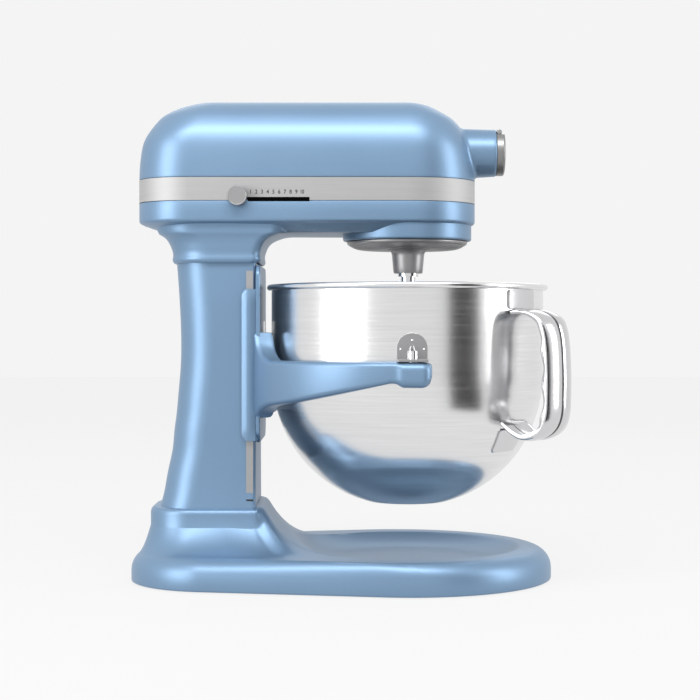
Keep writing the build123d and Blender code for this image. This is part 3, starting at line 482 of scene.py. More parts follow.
def makeBase():
    b = base
    centre = np.array([-172.0, 0.0])
    angles = np.linspace(0, 2 * np.pi, 420, endpoint=False)
    outer = outlineAt(eggOutline(b["front"], b["back"], b["half"], b["corner"]), angles, centre)
    collar = roundedOutline(b["collarBack"], b["collarFront"], b["collarHalf"], 36, 16)
    inner = outlineAt(collar, angles, centre)
    span = np.linalg.norm(outer - inner, axis=1)
    ahead = ease((inner[:, 0] - b["collarFront"] + 12) / 9)
    reach = np.minimum(span * b["flareSideShare"], b["flareSideMost"])
    # where each ray enters and leaves the recess, so that two rings lie on its edge
    way = (outer - inner) / span[:, None]
    closest = -np.sum(inner * way, axis=1)
    miss = np.linalg.norm(inner + way * closest[:, None], axis=1)
    halfChord = np.sqrt(np.clip(b["recess"] ** 2 - miss ** 2, 0, None))
    enter = np.clip((closest - halfChord) / span, 0.02, 0.9)
    leave = np.clip((closest + halfChord) / span, enter + 0.02, 0.92)
    rings = []
    stretch = [(0, enter, 22), (enter, leave, 60), (leave, 1, 46)]
    shares = np.concatenate([np.linspace(0, 1, n)[:, None] * (hi - lo) + lo + np.zeros((n, 420))
                             for lo, hi, n in stretch])
    shares = np.delete(shares, [22, 82], axis=0)
    for share in shares[::-1]:
        point = inner + (outer - inner) * share[:, None]
        z = baseHeight(point[:, 0], point[:, 1], span * (1 - share), span * share, reach, ahead)
        rings.append(ringAt(point, z))
    foot = [ringAt(insetPlan(outer, 9), 7.0), ringAt(insetPlan(outer, 7), b["low"]),
            ringAt(insetPlan(outer, 1.2), b["low"]), ringAt(insetPlan(outer, 0.3), b["low"] + 0.5),
            ringAt(outer, b["low"] + 1.6)]
    top = rings[-1][:, 2]
    wall = []
    for z, inset in [(60.0, 0.0), (62.5, 0.6), (64.2, 1.9), (b["collarTop"], 4.2), (b["collarTop"], 20)]:
        lean = ease((z - 50) / 18) * 6.0
        plan = insetPlan(inner, inset) - np.stack([lean * ahead, np.zeros(420)], axis=-1)
        wall.append(ringAt(plan, np.maximum(z + 1.5 * ahead, top + 0.1)))
    grid = np.stack(foot + rings + wall)
    makePiece("baseShell", "mixer_frame", finish["blue_paint"], [grid],
              replaces=["base_casting"], sharp=50)
    print("stage: base")


# column: level rings whose back follows a curve

column = {"heights": (60, 66, 77, 87, 100, 114, 130, 143, 161, 183, 235, 272, 279),
          "backs": (-215.5, -214.5, -211.9, -210.2, -207.7, -204.8, -203.3, -201.6, -199.9, -198, -198.3,
                    -200.8, -201.4),
          "front": -131.0, "half": 46.0, "footHalf": 50.0, "backCorner": 30.0, "frontCorner": 3.0}


def makeColumn():
    c = column
    heights = np.linspace(61, 278, 80)
    back = curveThrough(c["heights"], c["backs"], heights)
    half = c["half"] + (c["footHalf"] - c["half"]) * np.clip((110 - heights) / 50, 0, 1) ** 2
    rings = [ringAt(roundedOutline(b, c["front"], h, c["backCorner"], c["frontCorner"]), z)
             for z, b, h in zip(heights, back, half)]
    makePiece("columnShell", "mixer_frame", finish["blue_paint"], [np.stack(rings)],
              replaces=["column_casting"])
    print("stage: column")


# head: lower housing with the neck and the ring boss, top cover and hub

head = {"radius": 59.5, "back": -234.0, "corner": 46.0, "seamLow": 327.5, "seamHigh": 347.0,
        "seamGap": 0.5, "underside": 301.0, "rise": 8.0, "riseReach": 32.0, "bossRadius": 56.5,
        "bossBottom": 295.2, "hubHeight": 373.0, "hubRadius": 20.6, "hubFace": 77.9}
neck = {"heights": (275, 276.2, 281, 288, 294, 298.2, 300),
        "backs": (-203.2, -204.2, -204.4, -205.6, -208.5, -212.5, -215.5),
        "fronts": (-128.4, -127.4, -127.2, -126, -122.6, -116, -111),
        "halves": (49, 50, 50.1, 50.4, 51.2, 52.6, 53.4)}
cover = {"squash": 0.958,
         "heights": (347, 360, 370, 378, 384, 392, 399.5, 405, 410, 415, 417.3, 418.6, 419),
         "backs": (234, 233.5, 232.5, 231.2, 229.3, 225, 219.7, 215, 208, 197.5, 190, 185, 181),
         "fronts": (59.5, 58.7, 57.2, 55.3, 53, 49.3, 44.6, 39.3, 31.5, 22.5, 15.5, 4, -11),
         "sides": (59.5, 59.4, 59.0, 58.2, 57.0, 54.3, 50.3, 46.3, 40.5, 31.5, 25, 17, 8)}


def makeLowerHousing():
    h, n = head, neck
    angles = np.linspace(0, 2 * np.pi, 360, endpoint=False)
    heights = np.concatenate([[275], np.linspace(276.2, 300, 22)])
    middle = np.array([-165.0, 0.0])
    rings = []
    for z, back, front, half in zip(heights, curveThrough(n["heights"], n["backs"], heights),
                                    curveThrough(n["heights"], n["fronts"], heights),
                                    curveThrough(n["heights"], n["halves"], heights)):
        rings.append(ringAt(outlineAt(roundedOutline(back, front, half, 34, 9), angles, middle), z))
    flare = rings[-1][:, :2]
    outline = outlineAt(eggOutline(h["radius"], h["back"], h["radius"], h["corner"]), angles, middle)
    edge = insetPlan(outline, 3.0)
    span = np.linalg.norm(edge - flare, axis=1)
    # the underside rises from its flat middle towards the wall as a power of the distance from it
    for share in np.linspace(0, 1, 26)[1:]:
        under = h["underside"] + h["rise"] * np.clip(1 - span * (1 - share) / h["riseReach"], 0, 1) ** 1.5
        level = 300 + (under - 300) * ease(share / 0.25)
        rings.append(ringAt(flare + (edge - flare) * share, level))
    for turn in np.radians(np.linspace(0, 90, 7))[1:]:
        rings.append(ringAt(insetPlan(outline, 3.0 * (1 - math.sin(turn))),
                            h["underside"] + h["rise"] + 3.2 * (1 - math.cos(turn))))
    top = h["seamLow"] - h["seamGap"]
    for z, inset in ((318, 0), (top - 0.5, 0), (top - 0.1, 0.15), (top, 0.5), (top, 1.3), (top + 1, 1.5)):
        rings.append(ringAt(insetPlan(outline, inset), z))
    boss = revolved(roundedPath([(30, h["bossBottom"]), (h["bossRadius"], h["bossBottom"], 2.2),
                                 (h["bossRadius"], 312.2, 0.6), (40, 312.6)]), 192)
    makePiece("headLowerShell", "mixer_frame", finish["blue_paint"],
              [np.stack(rings), boss], replaces=["head_lower_housing"])
    print("stage: lower housing")


def cutWith(piece, grid):
    # Takes a closed cutter away from a piece with an exact boolean, applied to its mesh.
    mesh = bpy.data.meshes.new("cutter")
    faces = gridFaces(grid.shape[0], grid.shape[1], True, 0).tolist()
    count = grid.shape[0] * grid.shape[1]
    faces += [list(range(grid.shape[1]))[::-1], list(range(count - grid.shape[1], count))]
    mesh.from_pydata((grid.reshape(-1, 3) * mm).tolist(), [], faces)
    cutter = bpy.data.objects.new("cutter", mesh)
    bpy.context.collection.objects.link(cutter)
    tidy = bmesh.new()
    tidy.from_mesh(mesh)
    bmesh.ops.recalc_face_normals(tidy, faces=tidy.faces)
    tidy.to_mesh(mesh)
    tidy.free()
    cut = piece.modifiers.new("cut", "BOOLEAN")
    cut.operation, cut.solver, cut.object = "DIFFERENCE", "EXACT", cutter
    ready = bpy.data.meshes.new_from_object(piece.evaluated_get(bpy.context.evaluated_depsgraph_get()))
    piece.modifiers.clear()
    piece.data = ready
    bpy.data.objects.remove(cutter)
    ready.set_sharp_from_angle(angle=math.radians(35))


def hubGrid(heights, fronts, sides):
    # Sleeve round the hub's axis. Its root is a curve from the sleeve onto the head's nose, whose
    # depth at any point is front(z) times the root of 1 - (y / side(z)) squared.
    h = head
    turn = np.linspace(0, 2 * np.pi, 128, endpoint=False)

    def place(radius, x):
        across, height = radius * np.cos(turn), h["hubHeight"] + radius * np.sin(turn)
        return np.stack([x + np.zeros(128), across, height], axis=-1)

    def noseAt(radius):
        y, z = radius * np.cos(turn), h["hubHeight"] + radius * np.sin(turn)
        front, side = np.interp(z, heights, fronts), np.interp(z, heights, sides)
        return front * np.sqrt(np.clip(1 - (y / side) ** 2, 0, 1))

    radius, fillet = h["hubRadius"], 3.2
    rows = [place(16.1, 50.0), place(16.1, h["hubFace"] - 0.3), place(16.5, h["hubFace"]),
            place(radius - 1.0, h["hubFace"]), place(radius - 0.3, h["hubFace"] - 0.3),
            place(radius, h["hubFace"] - 1.0)]
    start = noseAt(radius + 0.8) + fillet * 1.3
    for share in np.linspace(0.15, 1, 8):
        rows.append(place(radius + 0.8 * share, h["hubFace"] - 1.0 + (start - h["hubFace"] + 1.0) * share))
    end = noseAt(radius + 0.8 + fillet)
    middle = noseAt(radius + 0.8)
    for t in np.linspace(0, 1, 9)[1:]:
        x = (1 - t) ** 2 * start + 2 * t * (1 - t) * (middle + 0.2) + t ** 2 * (end - 0.1)
        rows.append(place(radius + 0.8 + fillet * t ** 2, x))
    rows.append(place(radius + fillet, end - 4))
    rows.append(place(16.1, 40.0))
    rows.append(rows[0])
    return np.stack(rows)


def makeTopCover():
    h, c = head, cover
    angles = np.linspace(0, 2 * np.pi, 360, endpoint=False)
    middle = np.array([-88.0, 0.0])
    share = np.linspace(0, 1, 60)
    heights = 347 + 72 * np.sin(share * np.pi / 2) ** 0.9
    heights[-1] = 419

    def levels(values):
        # each profile is smoothed against distance along itself, then read back by height
        along = np.concatenate([[0], np.cumsum(np.hypot(np.diff(c["heights"]), np.diff(values)))])
        steps = np.linspace(0, along[-1], 3000)
        rise = np.maximum.accumulate(curveThrough(along, c["heights"], steps))
        return np.interp(heights, rise, curveThrough(along, values, steps))

    backs, fronts, sides = levels(c["backs"]), levels(c["fronts"]), levels(c["sides"])
    low = h["seamHigh"] + h["seamGap"]
    plan = outlineAt(eggOutline(h["radius"], h["back"], h["radius"], h["corner"]), angles, middle)
    rings = [ringAt(insetPlan(plan, 1.5), low - 1), ringAt(insetPlan(plan, 1.3), low),
             ringAt(insetPlan(plan, 0.5), low), ringAt(insetPlan(plan, 0.15), low + 0.1)]
    heights = 347 + (heights - 347) * c["squash"]
    for z, back, front, side in zip(heights, backs, fronts, sides):
        corner = max(h["corner"] - 0.55 * (h["radius"] - side), 6)
        ring = eggOutline(side, back * -1, side, min(corner, side))
        # the nose is drawn in from the side radius to its own depth
        ahead = ring[:, 0] > 0
        ring[ahead, 0] *= (front / side) if front > 0 else 0.02
        if front <= 0:
            ring[:, 0] = np.minimum(ring[:, 0], front + 6)
        rings.append(ringAt(outlineAt(ring, angles, middle), max(z, low + 0.6)))
    piece = makePiece("headTopShell", "mixer_frame", finish["blue_paint"],
                      [np.stack(rings)], replaces=["head_top_cover"])
    cutWith(piece, revolved(np.array([(17.0, 30.0), (17.0, 90.0)]), 64, (0, h["hubHeight"]), "x"))
    makePiece("hubCollar", "mixer_frame", finish["blue_paint"],
              [hubGrid(heights, fronts, sides)], caps=False, sharp=50)
    ears = []
    for side in (-1, 1):
        barrel = roundedPath([(0.6, side * 5.1), (2.4, side * 5.1, 0.3), (2.4, side * 8.1, 0.5),
                              (0.6, side * 8.1)], 4)
        ears.append(revolved(barrel, 32, (80.6, 391.2), "y"))
    makePiece("hubHingeEars", "mixer_frame", finish["grey_metal"], ears)
    print("stage: top cover and hub")


# yoke: front plate, side flanges and the two arms that carry the bowl

yoke = {"plateBack": -130.7, "plateFront": -127.0, "half": 51.6, "low": 121.0, "high": 273.0,
        "flangeBack": -142.7, "flangeLow": 122.8, "flangeHigh": 252.4, "flangeWall": 3.7,
        "inner": 124.5, "outer": 141.6, "pad": 143.5, "top": 191.7, "endX": 17.0, "padX": -11.0,
        "lowAt": (-126, -112.5, -66, -17, -13, -8, 17),
        "lows": (150.5, 154.0, 164.0, 174.6, 174.4, 171.2, 170.8)}


def prism(outline, start, end, axis, bevel=0.5):
    # Closed outline carried along an axis, with a small bevel at both ends.
    rings = []
    for along, inset in ((start, bevel), (start + math.copysign(bevel, end - start), 0),
                         (end - math.copysign(bevel, end - start), 0), (end, bevel)):
        plan = insetPlan(outline, inset)
        depth = np.full(len(plan), along)
        columns = {"x": (depth, plan[:, 0], plan[:, 1]), "y": (plan[:, 0], depth, plan[:, 1]),
                   "z": (plan[:, 0], plan[:, 1], depth)}[axis]
        rings.append(np.stack(columns, axis=-1))
    return np.stack(rings)


def roundedPolygon(corners, radius, steps=6):
    # Closed polygon through corners, each rounded; anticlockwise corners give outward bevels.
    corners = [tuple(c) for c in corners]
    first = ((corners[0][0] + corners[-1][0]) / 2, (corners[0][1] + corners[-1][1]) / 2)
    path = [first] + [(x, y, radius) for x, y in corners] + [first]
    return roundedPath(path, steps)[:-1]


def armSection(angle, inner, outer, low, high, corner, count=7):
    # Rounded rectangle between two radii and two heights, standing at an angle about the bowl.
    c = min(corner, (outer - inner) / 2 - 0.01, (high - low) / 2 - 0.01)
    quarter = [arc(outer - c, low + c, c, -90, 0, count), arc(outer - c, high - c, c, 0, 90, count),
               arc(inner + c, high - c, c, 90, 180, count), arc(inner + c, low + c, c, 180, 270, count)]
    radius, z = np.concatenate(quarter).T
    return np.stack([radius * math.cos(angle), radius * math.sin(angle), z], axis=-1)


def armGrid():
    y = yoke
    middle = (y["inner"] + y["pad"]) / 2
    endTurn = math.acos((y["endX"] - 1.5) / middle)
    turns = np.linspace(endTurn, 2 * math.pi - endTurn, 260)
    rings = []
    tipLength = 9.0
    for turn in turns:
        x, side = middle * math.cos(turn), abs(middle * math.sin(turn))
        fromEnd = min(turn - turns[0], turns[-1] - turn) * middle
        tip = tipLength * (1 - math.sqrt(1 - max(0, 1 - fromEnd / tipLength) ** 2))
        padShare = float(ease((x - y["padX"] + 3) / 7))
        outer = y["outer"] + (y["pad"] - y["outer"]) * padShare
        low = np.interp(x, y["lowAt"], y["lows"])
        rootRise = float(np.clip((-111.6 - x) / 13.0, 0, 0.995))
        root = 26 * (1 - math.sqrt(1 - rootRise ** 2)) * float(ease((side - 34) / 10))
        low -= 9 * (1 - math.sqrt(1 - rootRise ** 2))
        rings.append(armSection(turn, y["inner"] + tip * 0.55, outer - tip * 0.9, low + tip * 0.9,
                                y["top"] + root - tip * 0.25, 4.2 + 2.6 * padShare))
    return np.stack(rings)


def makeYoke():
    y = yoke
    face = roundedPolygon([(-y["half"], y["low"] + 8), (-y["half"] + 10, y["low"]),
                           (y["half"] - 10, y["low"]), (y["half"], y["low"] + 8),
                           (y["half"], y["high"] - 7), (y["half"] - 6, y["high"]),
                           (-y["half"] + 6, y["high"]), (-y["half"], y["high"] - 7)], 3.0)
    plate = prism(face, y["plateBack"], y["plateFront"], "x", 0.9)
    flanges = []
    for side in (1, -1):
        inner = y["half"] - y["flangeWall"]
        heights = np.linspace(y["flangeLow"], y["flangeHigh"], 60)
        middle = (y["flangeBack"] - 131.0) / 2
        rings = []
        for z in heights:
            toEnd = min(z - y["flangeLow"], y["flangeHigh"] - z)
            ridge = 1.3 * float(np.clip(toEnd / 9, 0, 1))
            narrow = 3.2 * float(np.clip(1 - toEnd / 6, 0, 1)) ** 1.5
            section = [(y["flangeBack"] + narrow, inner), (y["flangeBack"] + narrow, y["half"] - 1.4),
                       (middle - 2, y["half"] - 0.25 + ridge * 0.8), (middle, y["half"] - 0.2 + ridge),
                       (middle + 2, y["half"] - 0.25 + ridge * 0.8), (-131.0, y["half"] - 0.9), (-129, inner)]
            rings.append([(px, side * py, z) for px, py in section])
        flanges.append(np.array(rings))
    makePiece("bowlYoke", "support_yoke", finish["blue_paint"],
              [plate, armGrid()] + flanges, replaces=["bowl_support_yoke"], sharp=28)
    print("stage: yoke")


# bowl: one turned shell with a rolled rim, its two brackets and its handle

bowl = {"radius": 119.3, "wall": 1.3, "top": 257.0, "straightTo": 184.0, "bottom": 66.6, "curveLow": 63.0,
        "power": 2.1, "roll": 2.65}


def wallRadius(z, grow=0.0):
    # Radius of the bowl's outside: straight, then a squarish quarter ellipse below.
    b = bowl
    drop = np.clip((b["straightTo"] - np.asarray(z, float)) / (b["straightTo"] - b["curveLow"] + grow), 0, 1)
    return (b["radius"] + grow) * (1 - drop ** b["power"]) ** (1 / b["power"])


def makeBowl():
    b = bowl
    share = 2 / b["power"]
    last = math.asin(((b["straightTo"] - b["bottom"]) / (b["straightTo"] - b["curveLow"])) ** (1 / share))
    turn = np.linspace(0, last - 0.02, 60)

    def lower(grow):
        depth = b["straightTo"] - b["curveLow"] + grow
        return np.stack([(b["radius"] + grow) * np.cos(turn) ** share,
                         b["straightTo"] - depth * np.sin(turn) ** share], axis=-1)

    outside = lower(0.0)[::-1]
    inside = lower(-b["wall"])
    rollZ = b["top"] - b["roll"]
    rim = arc(b["radius"] + b["roll"] - b["wall"], rollZ, b["roll"], -125, 178, 28)
    walls = np.linspace(b["straightTo"] + 6, rollZ - 6, 10)
    outerWall = np.stack([np.full(10, b["radius"]), walls], axis=-1)
    innerWall = np.stack([np.full(10, b["radius"] - b["wall"]), walls[::-1]], axis=-1)
    floorOut = np.array([(2.0, b["bottom"]), (14.0, b["bottom"] + 0.05), (25.0, b["bottom"] + 0.25)])
    floorIn = floorOut[::-1] + (0, b["wall"])
    profile = np.concatenate([floorOut, outside, outerWall, rim, innerWall, inside, floorIn])
    makePiece("bowlShell", "mixing_bowl", finish["brushed_steel"],
              [revolved(profile, 256)], replaces=["bowl"], sharp=50)
    print("stage: bowl")


def wallPatch(outline, base, grow, thick, levels=(1, 0.985, 0.8, 0.5, 0.2), bevel=0.5):
    # A plate bent onto the bowl's wall: outline holds (distance round, height) about an angle.
    centre = outline.mean(axis=0)

    def bend(plan, out):
        z = plan[:, 1]
        radius = wallRadius(z, grow) + out
        angle = base + plan[:, 0] / 121.0
        return np.stack([radius * np.cos(angle), radius * np.sin(angle), z], axis=-1)

    rings = [bend(centre + (outline - centre) * s, 0.0) for s in levels[::-1]]
    rings.append(bend(outline, thick - bevel * 0.6))
    small = insetPlan(outline, bevel)
    rings += [bend(centre + (small - centre) * s, thick) for s in levels]
    return np.stack(rings)


def dome(centre, outward, radius, height, count=20):
    # A small pressed dot: a spherical cap on a wall.
    outward = np.array(outward, float) / np.linalg.norm(outward)
    up = np.array([0.0, 0.0, 1.0])
    across = np.cross(up, outward)
    across /= np.linalg.norm(across)
    up = np.cross(outward, across)
    turn = np.linspace(0, 2 * np.pi, count, endpoint=False)
    rings = []
    for share in (1.15, 1.0, 0.9, 0.7, 0.4, 0.1):
        lift = height * (1 - share ** 2) if share <= 1 else -0.4
        rings.append(centre + radius * share * (np.cos(turn)[:, None] * across + np.sin(turn)[:, None] * up)
                     + outward * lift)
    return np.stack(rings)


bracket = {"half": 12.7, "low": 192.3, "top": 215.4, "ledge": 2.2, "ledgeReach": 141.5, "ribHalf": 3.6,
           "ribTop": 204.5}


def makeBrackets():
    k = bracket
    plates, dots, rims = [], [], []
    arch = arc(0, k["top"] - k["half"], k["half"], 0, 180, 30)
    side = np.linspace(k["low"] + 0.5, k["top"] - k["half"], 8)[:-1]
    foot = np.linspace(-k["half"], k["half"], 14)[1:-1]
    outline = np.concatenate([np.stack([np.full(7, k["half"]), side], axis=-1), arch,
                              np.stack([np.full(7, -k["half"]), side[::-1]], axis=-1),
                              np.stack([foot, np.full(12, k["low"])], axis=-1)])
    for turn in (-math.pi / 2, math.pi / 2):
        plates.append(wallPatch(outline, turn, 0.15, 2.0))
        for across, z in ((0, 209.2), (-9.6, 202.0), (9.6, 202.0)):
            angle = turn + across / 121.0
            out = np.array([math.cos(angle), math.sin(angle), 0.0])
            dots.append(dome(out * (wallRadius(z) + 2.0) + (0, 0, z), out, 0.95, 0.55))
        sign = 1 if turn > 0 else -1
        # ledge that rests on the arm
        ledge = roundedPolygon([(-k["half"], 118.8), (k["half"], 118.8), (k["half"], k["ledgeReach"]),
                                (-k["half"], k["ledgeReach"])], 2.0)
        ledge = prism(ledge, 191.9, 191.9 + k["ledge"], "z", 0.4)
        ledge[..., 1] *= sign
        plates.append(ledge if sign > 0 else ledge[:, ::-1])
        # pressed rib: two sloping folds that meet at the top
        for edge in (-1, 1):
            low, high = np.array([edge * k["ribHalf"], 194.0]), np.array([edge * 1.1, k["ribTop"]])
            fold = []
            for share in np.linspace(0, 1, 8):
                x, z = low + (high - low) * share
                reach = 121.4 + 7.5 * (1 - share) + 0.6
                fold.append([(x - 0.75, 121.0, z), (x + 0.75, 121.0, z),
                             (x + 0.6, reach, z), (x - 0.6, reach, z)])
            fold = np.array(fold)
            fold[..., 1] *= sign
            rims.append(fold)
    makePiece("bowlBracketPlates", "mixing_bowl", finish["grey_metal"], plates,
              replaces=["bowl_brackets"], sharp=40)
    makePiece("bowlBracketRibs", "mixing_bowl", mirrorSteel, rims + dots, sharp=40)
    print("stage: brackets")


handle = {"angle": -38.5, "half": 19.0, "seam": 1.5, "thick": 2.2, "lip": 4.6,
          "crownSide": 4.3, "crownTop": 1.4,
          "path": [(120.4, 234.6), (128, 235.2), (137, 234.4), (146, 231.3), (153, 226), (157.3, 217),
                   (159.2, 207), (160.3, 192), (160.7, 177), (160.5, 161), (159.4, 147), (155.5, 137),
                   (149, 130.5), (140, 126.6), (131, 125.6), (122, 128.2), (114, 133.0), (108.6, 137.0)],
          "upperPlate": (235.0, 251.0), "lowerPlate": (114.5, 134.0)}


def polarPlace(radius, across, z):
    # Points from a distance out along the handle's angle, one across it, and a height.
    a = math.radians(handle["angle"])
    x = radius * math.cos(a) - across * math.sin(a)
    y = radius * math.sin(a) + across * math.cos(a)
    return np.stack([x, y, np.broadcast_to(z, np.shape(x))], axis=-1)


def makeHandle():
    h = handle
    path = np.array(h["path"], float)
    along = np.concatenate([[0], np.cumsum(np.hypot(*np.diff(path, axis=0).T))])
    steps = np.linspace(0, along[-1], 150)
    r, z = curveThrough(along, path[:, 0], steps), curveThrough(along, path[:, 1], steps)
    tangent = np.stack([np.gradient(r), np.gradient(z)], axis=-1)
    tangent /= np.linalg.norm(tangent, axis=1, keepdims=True)
    outward = np.stack([-tangent[:, 1], tangent[:, 0]], axis=-1)
    share = steps / along[-1]
    # finger grips: the inner lip's depth swells three times along the upright part
    grip = ease((share - 0.22) / 0.1) * ease((0.80 - share) / 0.1)
    lip = 2.6 + (h["lip"] - 2.6) * ease(share / 0.2) * ease((1 - share) / 0.2)
    lip = lip + 1.1 * np.cos((share - 0.5) * 2 * np.pi * 6.2) * grip
    strips = []
    for side in (-1, 1):
        near, far = side * h["seam"] / 2, side * h["half"]
        # cross-section from the seam over the crowned face to the rolled edge and back inside
        t = np.linspace(0, 1, 14)
        acrossOut = near + (far - near) * t
        sections = []
        for k in range(len(steps)):
            fall = h["crownSide"] * outward[k, 0] ** 2 + h["crownTop"] * outward[k, 1] ** 2
            crown = -fall * t ** 2 + 0.5 * np.sin(t * np.pi)
            inner = lip[k] + fall
            lipMiddle = -fall - lip[k] * 0.55
            depthOut = np.concatenate([crown - 0.9 * (1 - t) ** 8, [-fall - 0.8, lipMiddle, -inner]])
            across = np.concatenate([acrossOut, [far + side * 0.5, far + side * 0.35, far - side * 0.2]])
            backDepth = np.concatenate([[-inner, lipMiddle], crown[::-1] - h["thick"]])
            backAcross = np.concatenate([[far - side * 1.4, far - side * 1.2],
                                         near + (far - side * 1.2 - near) * t[::-1]])
            depth = np.concatenate([depthOut, backDepth])
            wide = np.concatenate([across, backAcross])
            radius = r[k] + outward[k, 0] * depth
            height = z[k] + outward[k, 1] * depth
            sections.append(polarPlace(radius, wide, height))
        strips.append(np.stack(sections))
    makePiece("bowlHandleStrips", "mixing_bowl", mirrorSteel, strips,
              replaces=["bowl_handle"], sharp=45)
    # painted shade: a black strip behind the gap between the two strips, standing in for the shade inside the
    # seam
    seamShade = []
    for k in range(len(steps)):
        depth = np.array([-0.6, -0.6, -1.9, -1.9])
        across = np.array([-1.5, 1.5, 1.5, -1.5])
        seamShade.append(polarPlace(r[k] + outward[k, 0] * depth, across, z[k] + outward[k, 1] * depth))
    makePiece("bowlHandleSeamShade", "mixing_bowl", finish["black_plastic"], [np.stack(seamShade)])
    plates, dots = [], []
    a = math.radians(h["angle"])
    for (low, high), slant in ((h["upperPlate"], 0.0), (h["lowerPlate"], 0.0)):
        outline = roundedPolygon([(-h["half"], low), (h["half"], low), (h["half"], high),
                                  (-h["half"], high)], 3.0, 8)
        dense = []
        for start, end in zip(outline, np.roll(outline, -1, axis=0)):
            dense.append(start + (end - start) * np.linspace(0, 1, 4)[:-1, None])
        outline = np.concatenate(dense)
        plates.append(wallPatch(outline, a, 0.15, 1.7))
        middle = (low + high) / 2 - 1
        for across in (-8.5, 8.5):
            angle = a + across / 121.0
            radius = float(wallRadius(middle))
            lean = float(wallRadius(middle + 1) - wallRadius(middle - 1)) / 2
            out = np.array([math.cos(angle), math.sin(angle), -lean])
            place = np.array([math.cos(angle) * (radius + 1.75), math.sin(angle) * (radius + 1.75), middle])
            dots.append(dome(place, out, 0.75, -0.25))
    makePiece("bowlHandlePlates", "mixing_bowl", mirrorSteel, plates, sharp=40)
    makePiece("bowlHandleDots", "mixing_bowl", finish["grey_metal"], dots)
    print("stage: handle")


# planetary, speed control and small pieces

planetary = {"disc": 53.0, "top": 294.7, "bottom": 287.5, "bossTop": 286.5, "bossBottom": 267.0,
             "offset": -25.0}


def makePlanetary():
    p = planetary
    disc = revolved(roundedPath([(8, p["top"]), (p["disc"], p["top"], 0.8), (p["disc"], 292.6, 2),
                                 (44.5, p["bottom"] + 0.1, 6), (8, p["bottom"])], 12), 160)
    boss = revolved(roundedPath([(21.5, 288.6), (20.5, 287.4), (14.3, 286.6, 5), (13.7, 279, 3),
                                 (12.9, 269.5, 3), (12.5, p["bossBottom"], 2.2), (4, p["bossBottom"])], 12),
                    96, (0, p["offset"]))
    makePiece("planetaryCasting", "planetary", finish["grey_metal"], [disc, boss],
              replaces=["planetary_housing"])
    print("stage: planetary")


speed = {"knobX": -145.4, "knobZ": 330.8, "knobRadius": 8.25, "slotFrom": -136.9, "slotTo": -84.6,
         "slotLow": 326.5, "slotHigh": 330.1, "stemHigh": 329.5, "stemLow": 327.1, "digitHeight": 3.5,
         "firstDigit": -134.5, "lastDigit": -90.9, "digitZ": 334.4}


def makeSpeedControl():
    s = speed
    wide = s["knobRadius"]
    knob = revolved(roundedPath([(3, -60.9), (wide - 0.3, -60.9, 0.4), (wide, -61.6, 0.4), (wide, -68.6, 0.5),
                                 (wide - 0.5, -69.0, 0.2), (wide - 0.8, -68.85, 0.2), (1.0, -68.85)], 8),
                    96, (s["knobX"], s["knobZ"]), "y")
    stem = prism(roundedPolygon([(s["knobX"] - 2, s["stemLow"]), (s["knobX"] + 2, s["stemLow"]),
                                 (s["knobX"] + 2, s["stemHigh"]), (s["knobX"] - 2, s["stemHigh"])], 0.4, 4),
                 -61.5, -59.85, "y", 0.2)
    makePiece("speedKnob", "speed_control", finish["grey_metal"], [knob, stem],
              replaces=["speed_knob"])
    # painted shade: a flat black strip laid on the housing where the speed lever's slot opens, in place of
    # the shade inside the opening
    half = (s["slotHigh"] - s["slotLow"]) / 2
    strip = roundedPolygon([(s["slotFrom"], s["slotLow"]), (s["slotTo"], s["slotLow"]),
                            (s["slotTo"], s["slotHigh"]), (s["slotFrom"], s["slotHigh"])], half * 0.3, 6)
    makePiece("speedSlotShadeStrip", "mixer_frame", slotPaintedShade,
              [prism(strip, -59.0, -59.75, "y", 0.15)])
    numbers = []
    for count in range(10):
        words = bpy.data.curves.new("digit", "FONT")
        words.body = str(count + 1)
        words.size = s["digitHeight"] / 0.72 * mm
        words.align_x, words.align_y = "CENTER", "CENTER"
        words.extrude = 0.04 * mm
        words.offset = 0.085 * mm
        words.resolution_u = 3
        holder = bpy.data.objects.new("digit", words)
        bpy.context.collection.objects.link(holder)
        bpy.context.view_layer.update()
        flat = bpy.data.meshes.new_from_object(holder)
        points = np.array([v.co for v in flat.vertices])
        narrow = 0.72 if count == 9 else 0.86
        at = s["firstDigit"] + (s["lastDigit"] - s["firstDigit"]) * count / 9
        place = np.stack([points[:, 0] * narrow + at * mm, -59.56 * mm - points[:, 2],
                          points[:, 1] + s["digitZ"] * mm], axis=-1)
        numbers.append((place, [tuple(p.vertices) for p in flat.polygons]))
        bpy.data.objects.remove(holder)
    points, faces, first = [], [], 0
    for place, polygons in numbers:
        points.append(place)
        faces += [tuple(i + first for i in p) for p in polygons]
        first += len(place)
    mesh = bpy.data.meshes.new("speedNumbers")
    mesh.from_pydata(np.concatenate(points).tolist(), [], faces)
    mesh.materials.append(finish["digits"])
    piece = bpy.data.objects.new("speedNumbers", mesh)
    bpy.context.collection.objects.link(piece)
    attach(piece, "mixer_frame")
    print("stage: speed control")


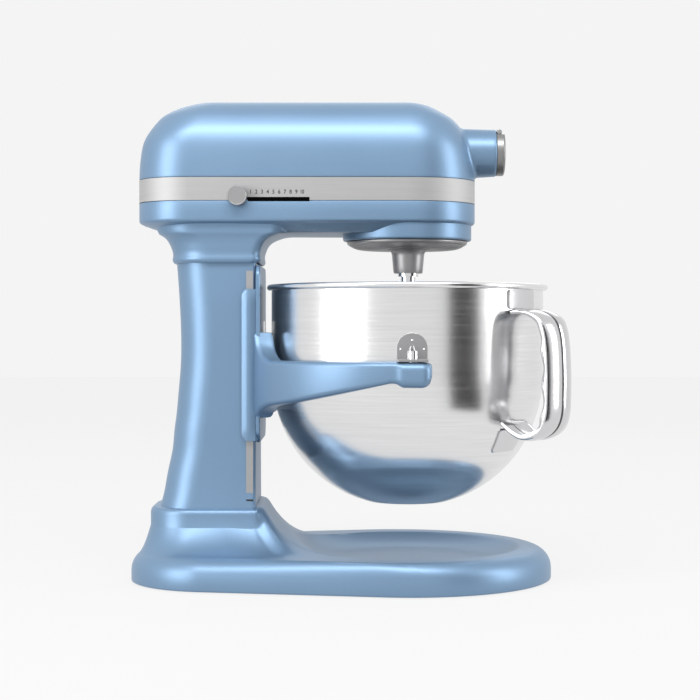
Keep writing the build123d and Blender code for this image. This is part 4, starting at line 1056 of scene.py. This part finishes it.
rail = {"capLow": 67.5, "capHigh": 73.2, "x": -136.0}
inlet = {"z": 96.0, "root": -204.0, "face": -209.5, "radius": 7.0, "bore": 3.6, "lean": 0.193}


def makeSmallPieces():
    r = rail
    caps = []
    for side in (1, -1):
        cap = roundedPolygon([(r["x"] - 3.3, 45.8), (r["x"] + 3.3, 45.8), (r["x"] + 3.3, 48.4),
                              (r["x"] - 3.3, 48.4)], 0.8, 4)
        cap = prism(cap, r["capLow"], r["capHigh"], "z", 0.5)
        cap[..., 1] *= side
        caps.append(cap)
    makePiece("railEndCaps", "mixer_frame", finish["black_plastic"], caps)
    # the inlet's ring leans with the column's back
    i = inlet
    profile = [(i["bore"], i["root"]), (i["bore"], i["face"], 0.4), (i["radius"], i["face"], 0.8),
               (i["radius"], i["root"])]
    ring = revolved(roundedPath(profile), 64, (0, i["z"]), "x")
    ring[..., 0] += (ring[..., 2] - i["z"]) * i["lean"]
    makePiece("cordInletRing", "mixer_frame", finish["black_plastic"], [ring],
              replaces=["cord_inlet"])
    print("stage: small pieces")


finish["digits"] = moulded("printedGrey", (0.02, 0.02, 0.021), 0.5)
dressFrame()
makeBase()
makeColumn()
makeLowerHousing()
makeTopCover()
makeYoke()
makeBowl()
makeBrackets()
makeHandle()
makePlanetary()
makeSpeedControl()
makeSmallPieces()


# floor and studio

def makeFloor():
    size, drop = 6.0, 0.0
    mesh = bpy.data.meshes.new("studioFloor")
    mesh.from_pydata([(-size, -size, drop), (size, -size, drop), (size, size, drop), (-size, size, drop)],
                     [], [(0, 1, 2, 3)])
    floor = bpy.data.objects.new("studioFloor", mesh)
    s = Shader("paleFloor")
    cloud = s.noise(3, 2.0)
    s.set(color=s.blend(cloud, (0.068, 0.068, 0.068), (0.072, 0.072, 0.072)), roughness=cloud * 0.1 + 0.7,
          specular=0.0, emission=(0.820, 0.820, 0.820))
    mesh.materials.append(s.material)
    bpy.context.collection.objects.link(floor)


makeFloor()
addCamera()
for lightName in ("overhead", "left", "right", "behind"):
    addLight(lightName, lightRig[lightName])
addDarkCard()
addWorld()
print("stage: studio")
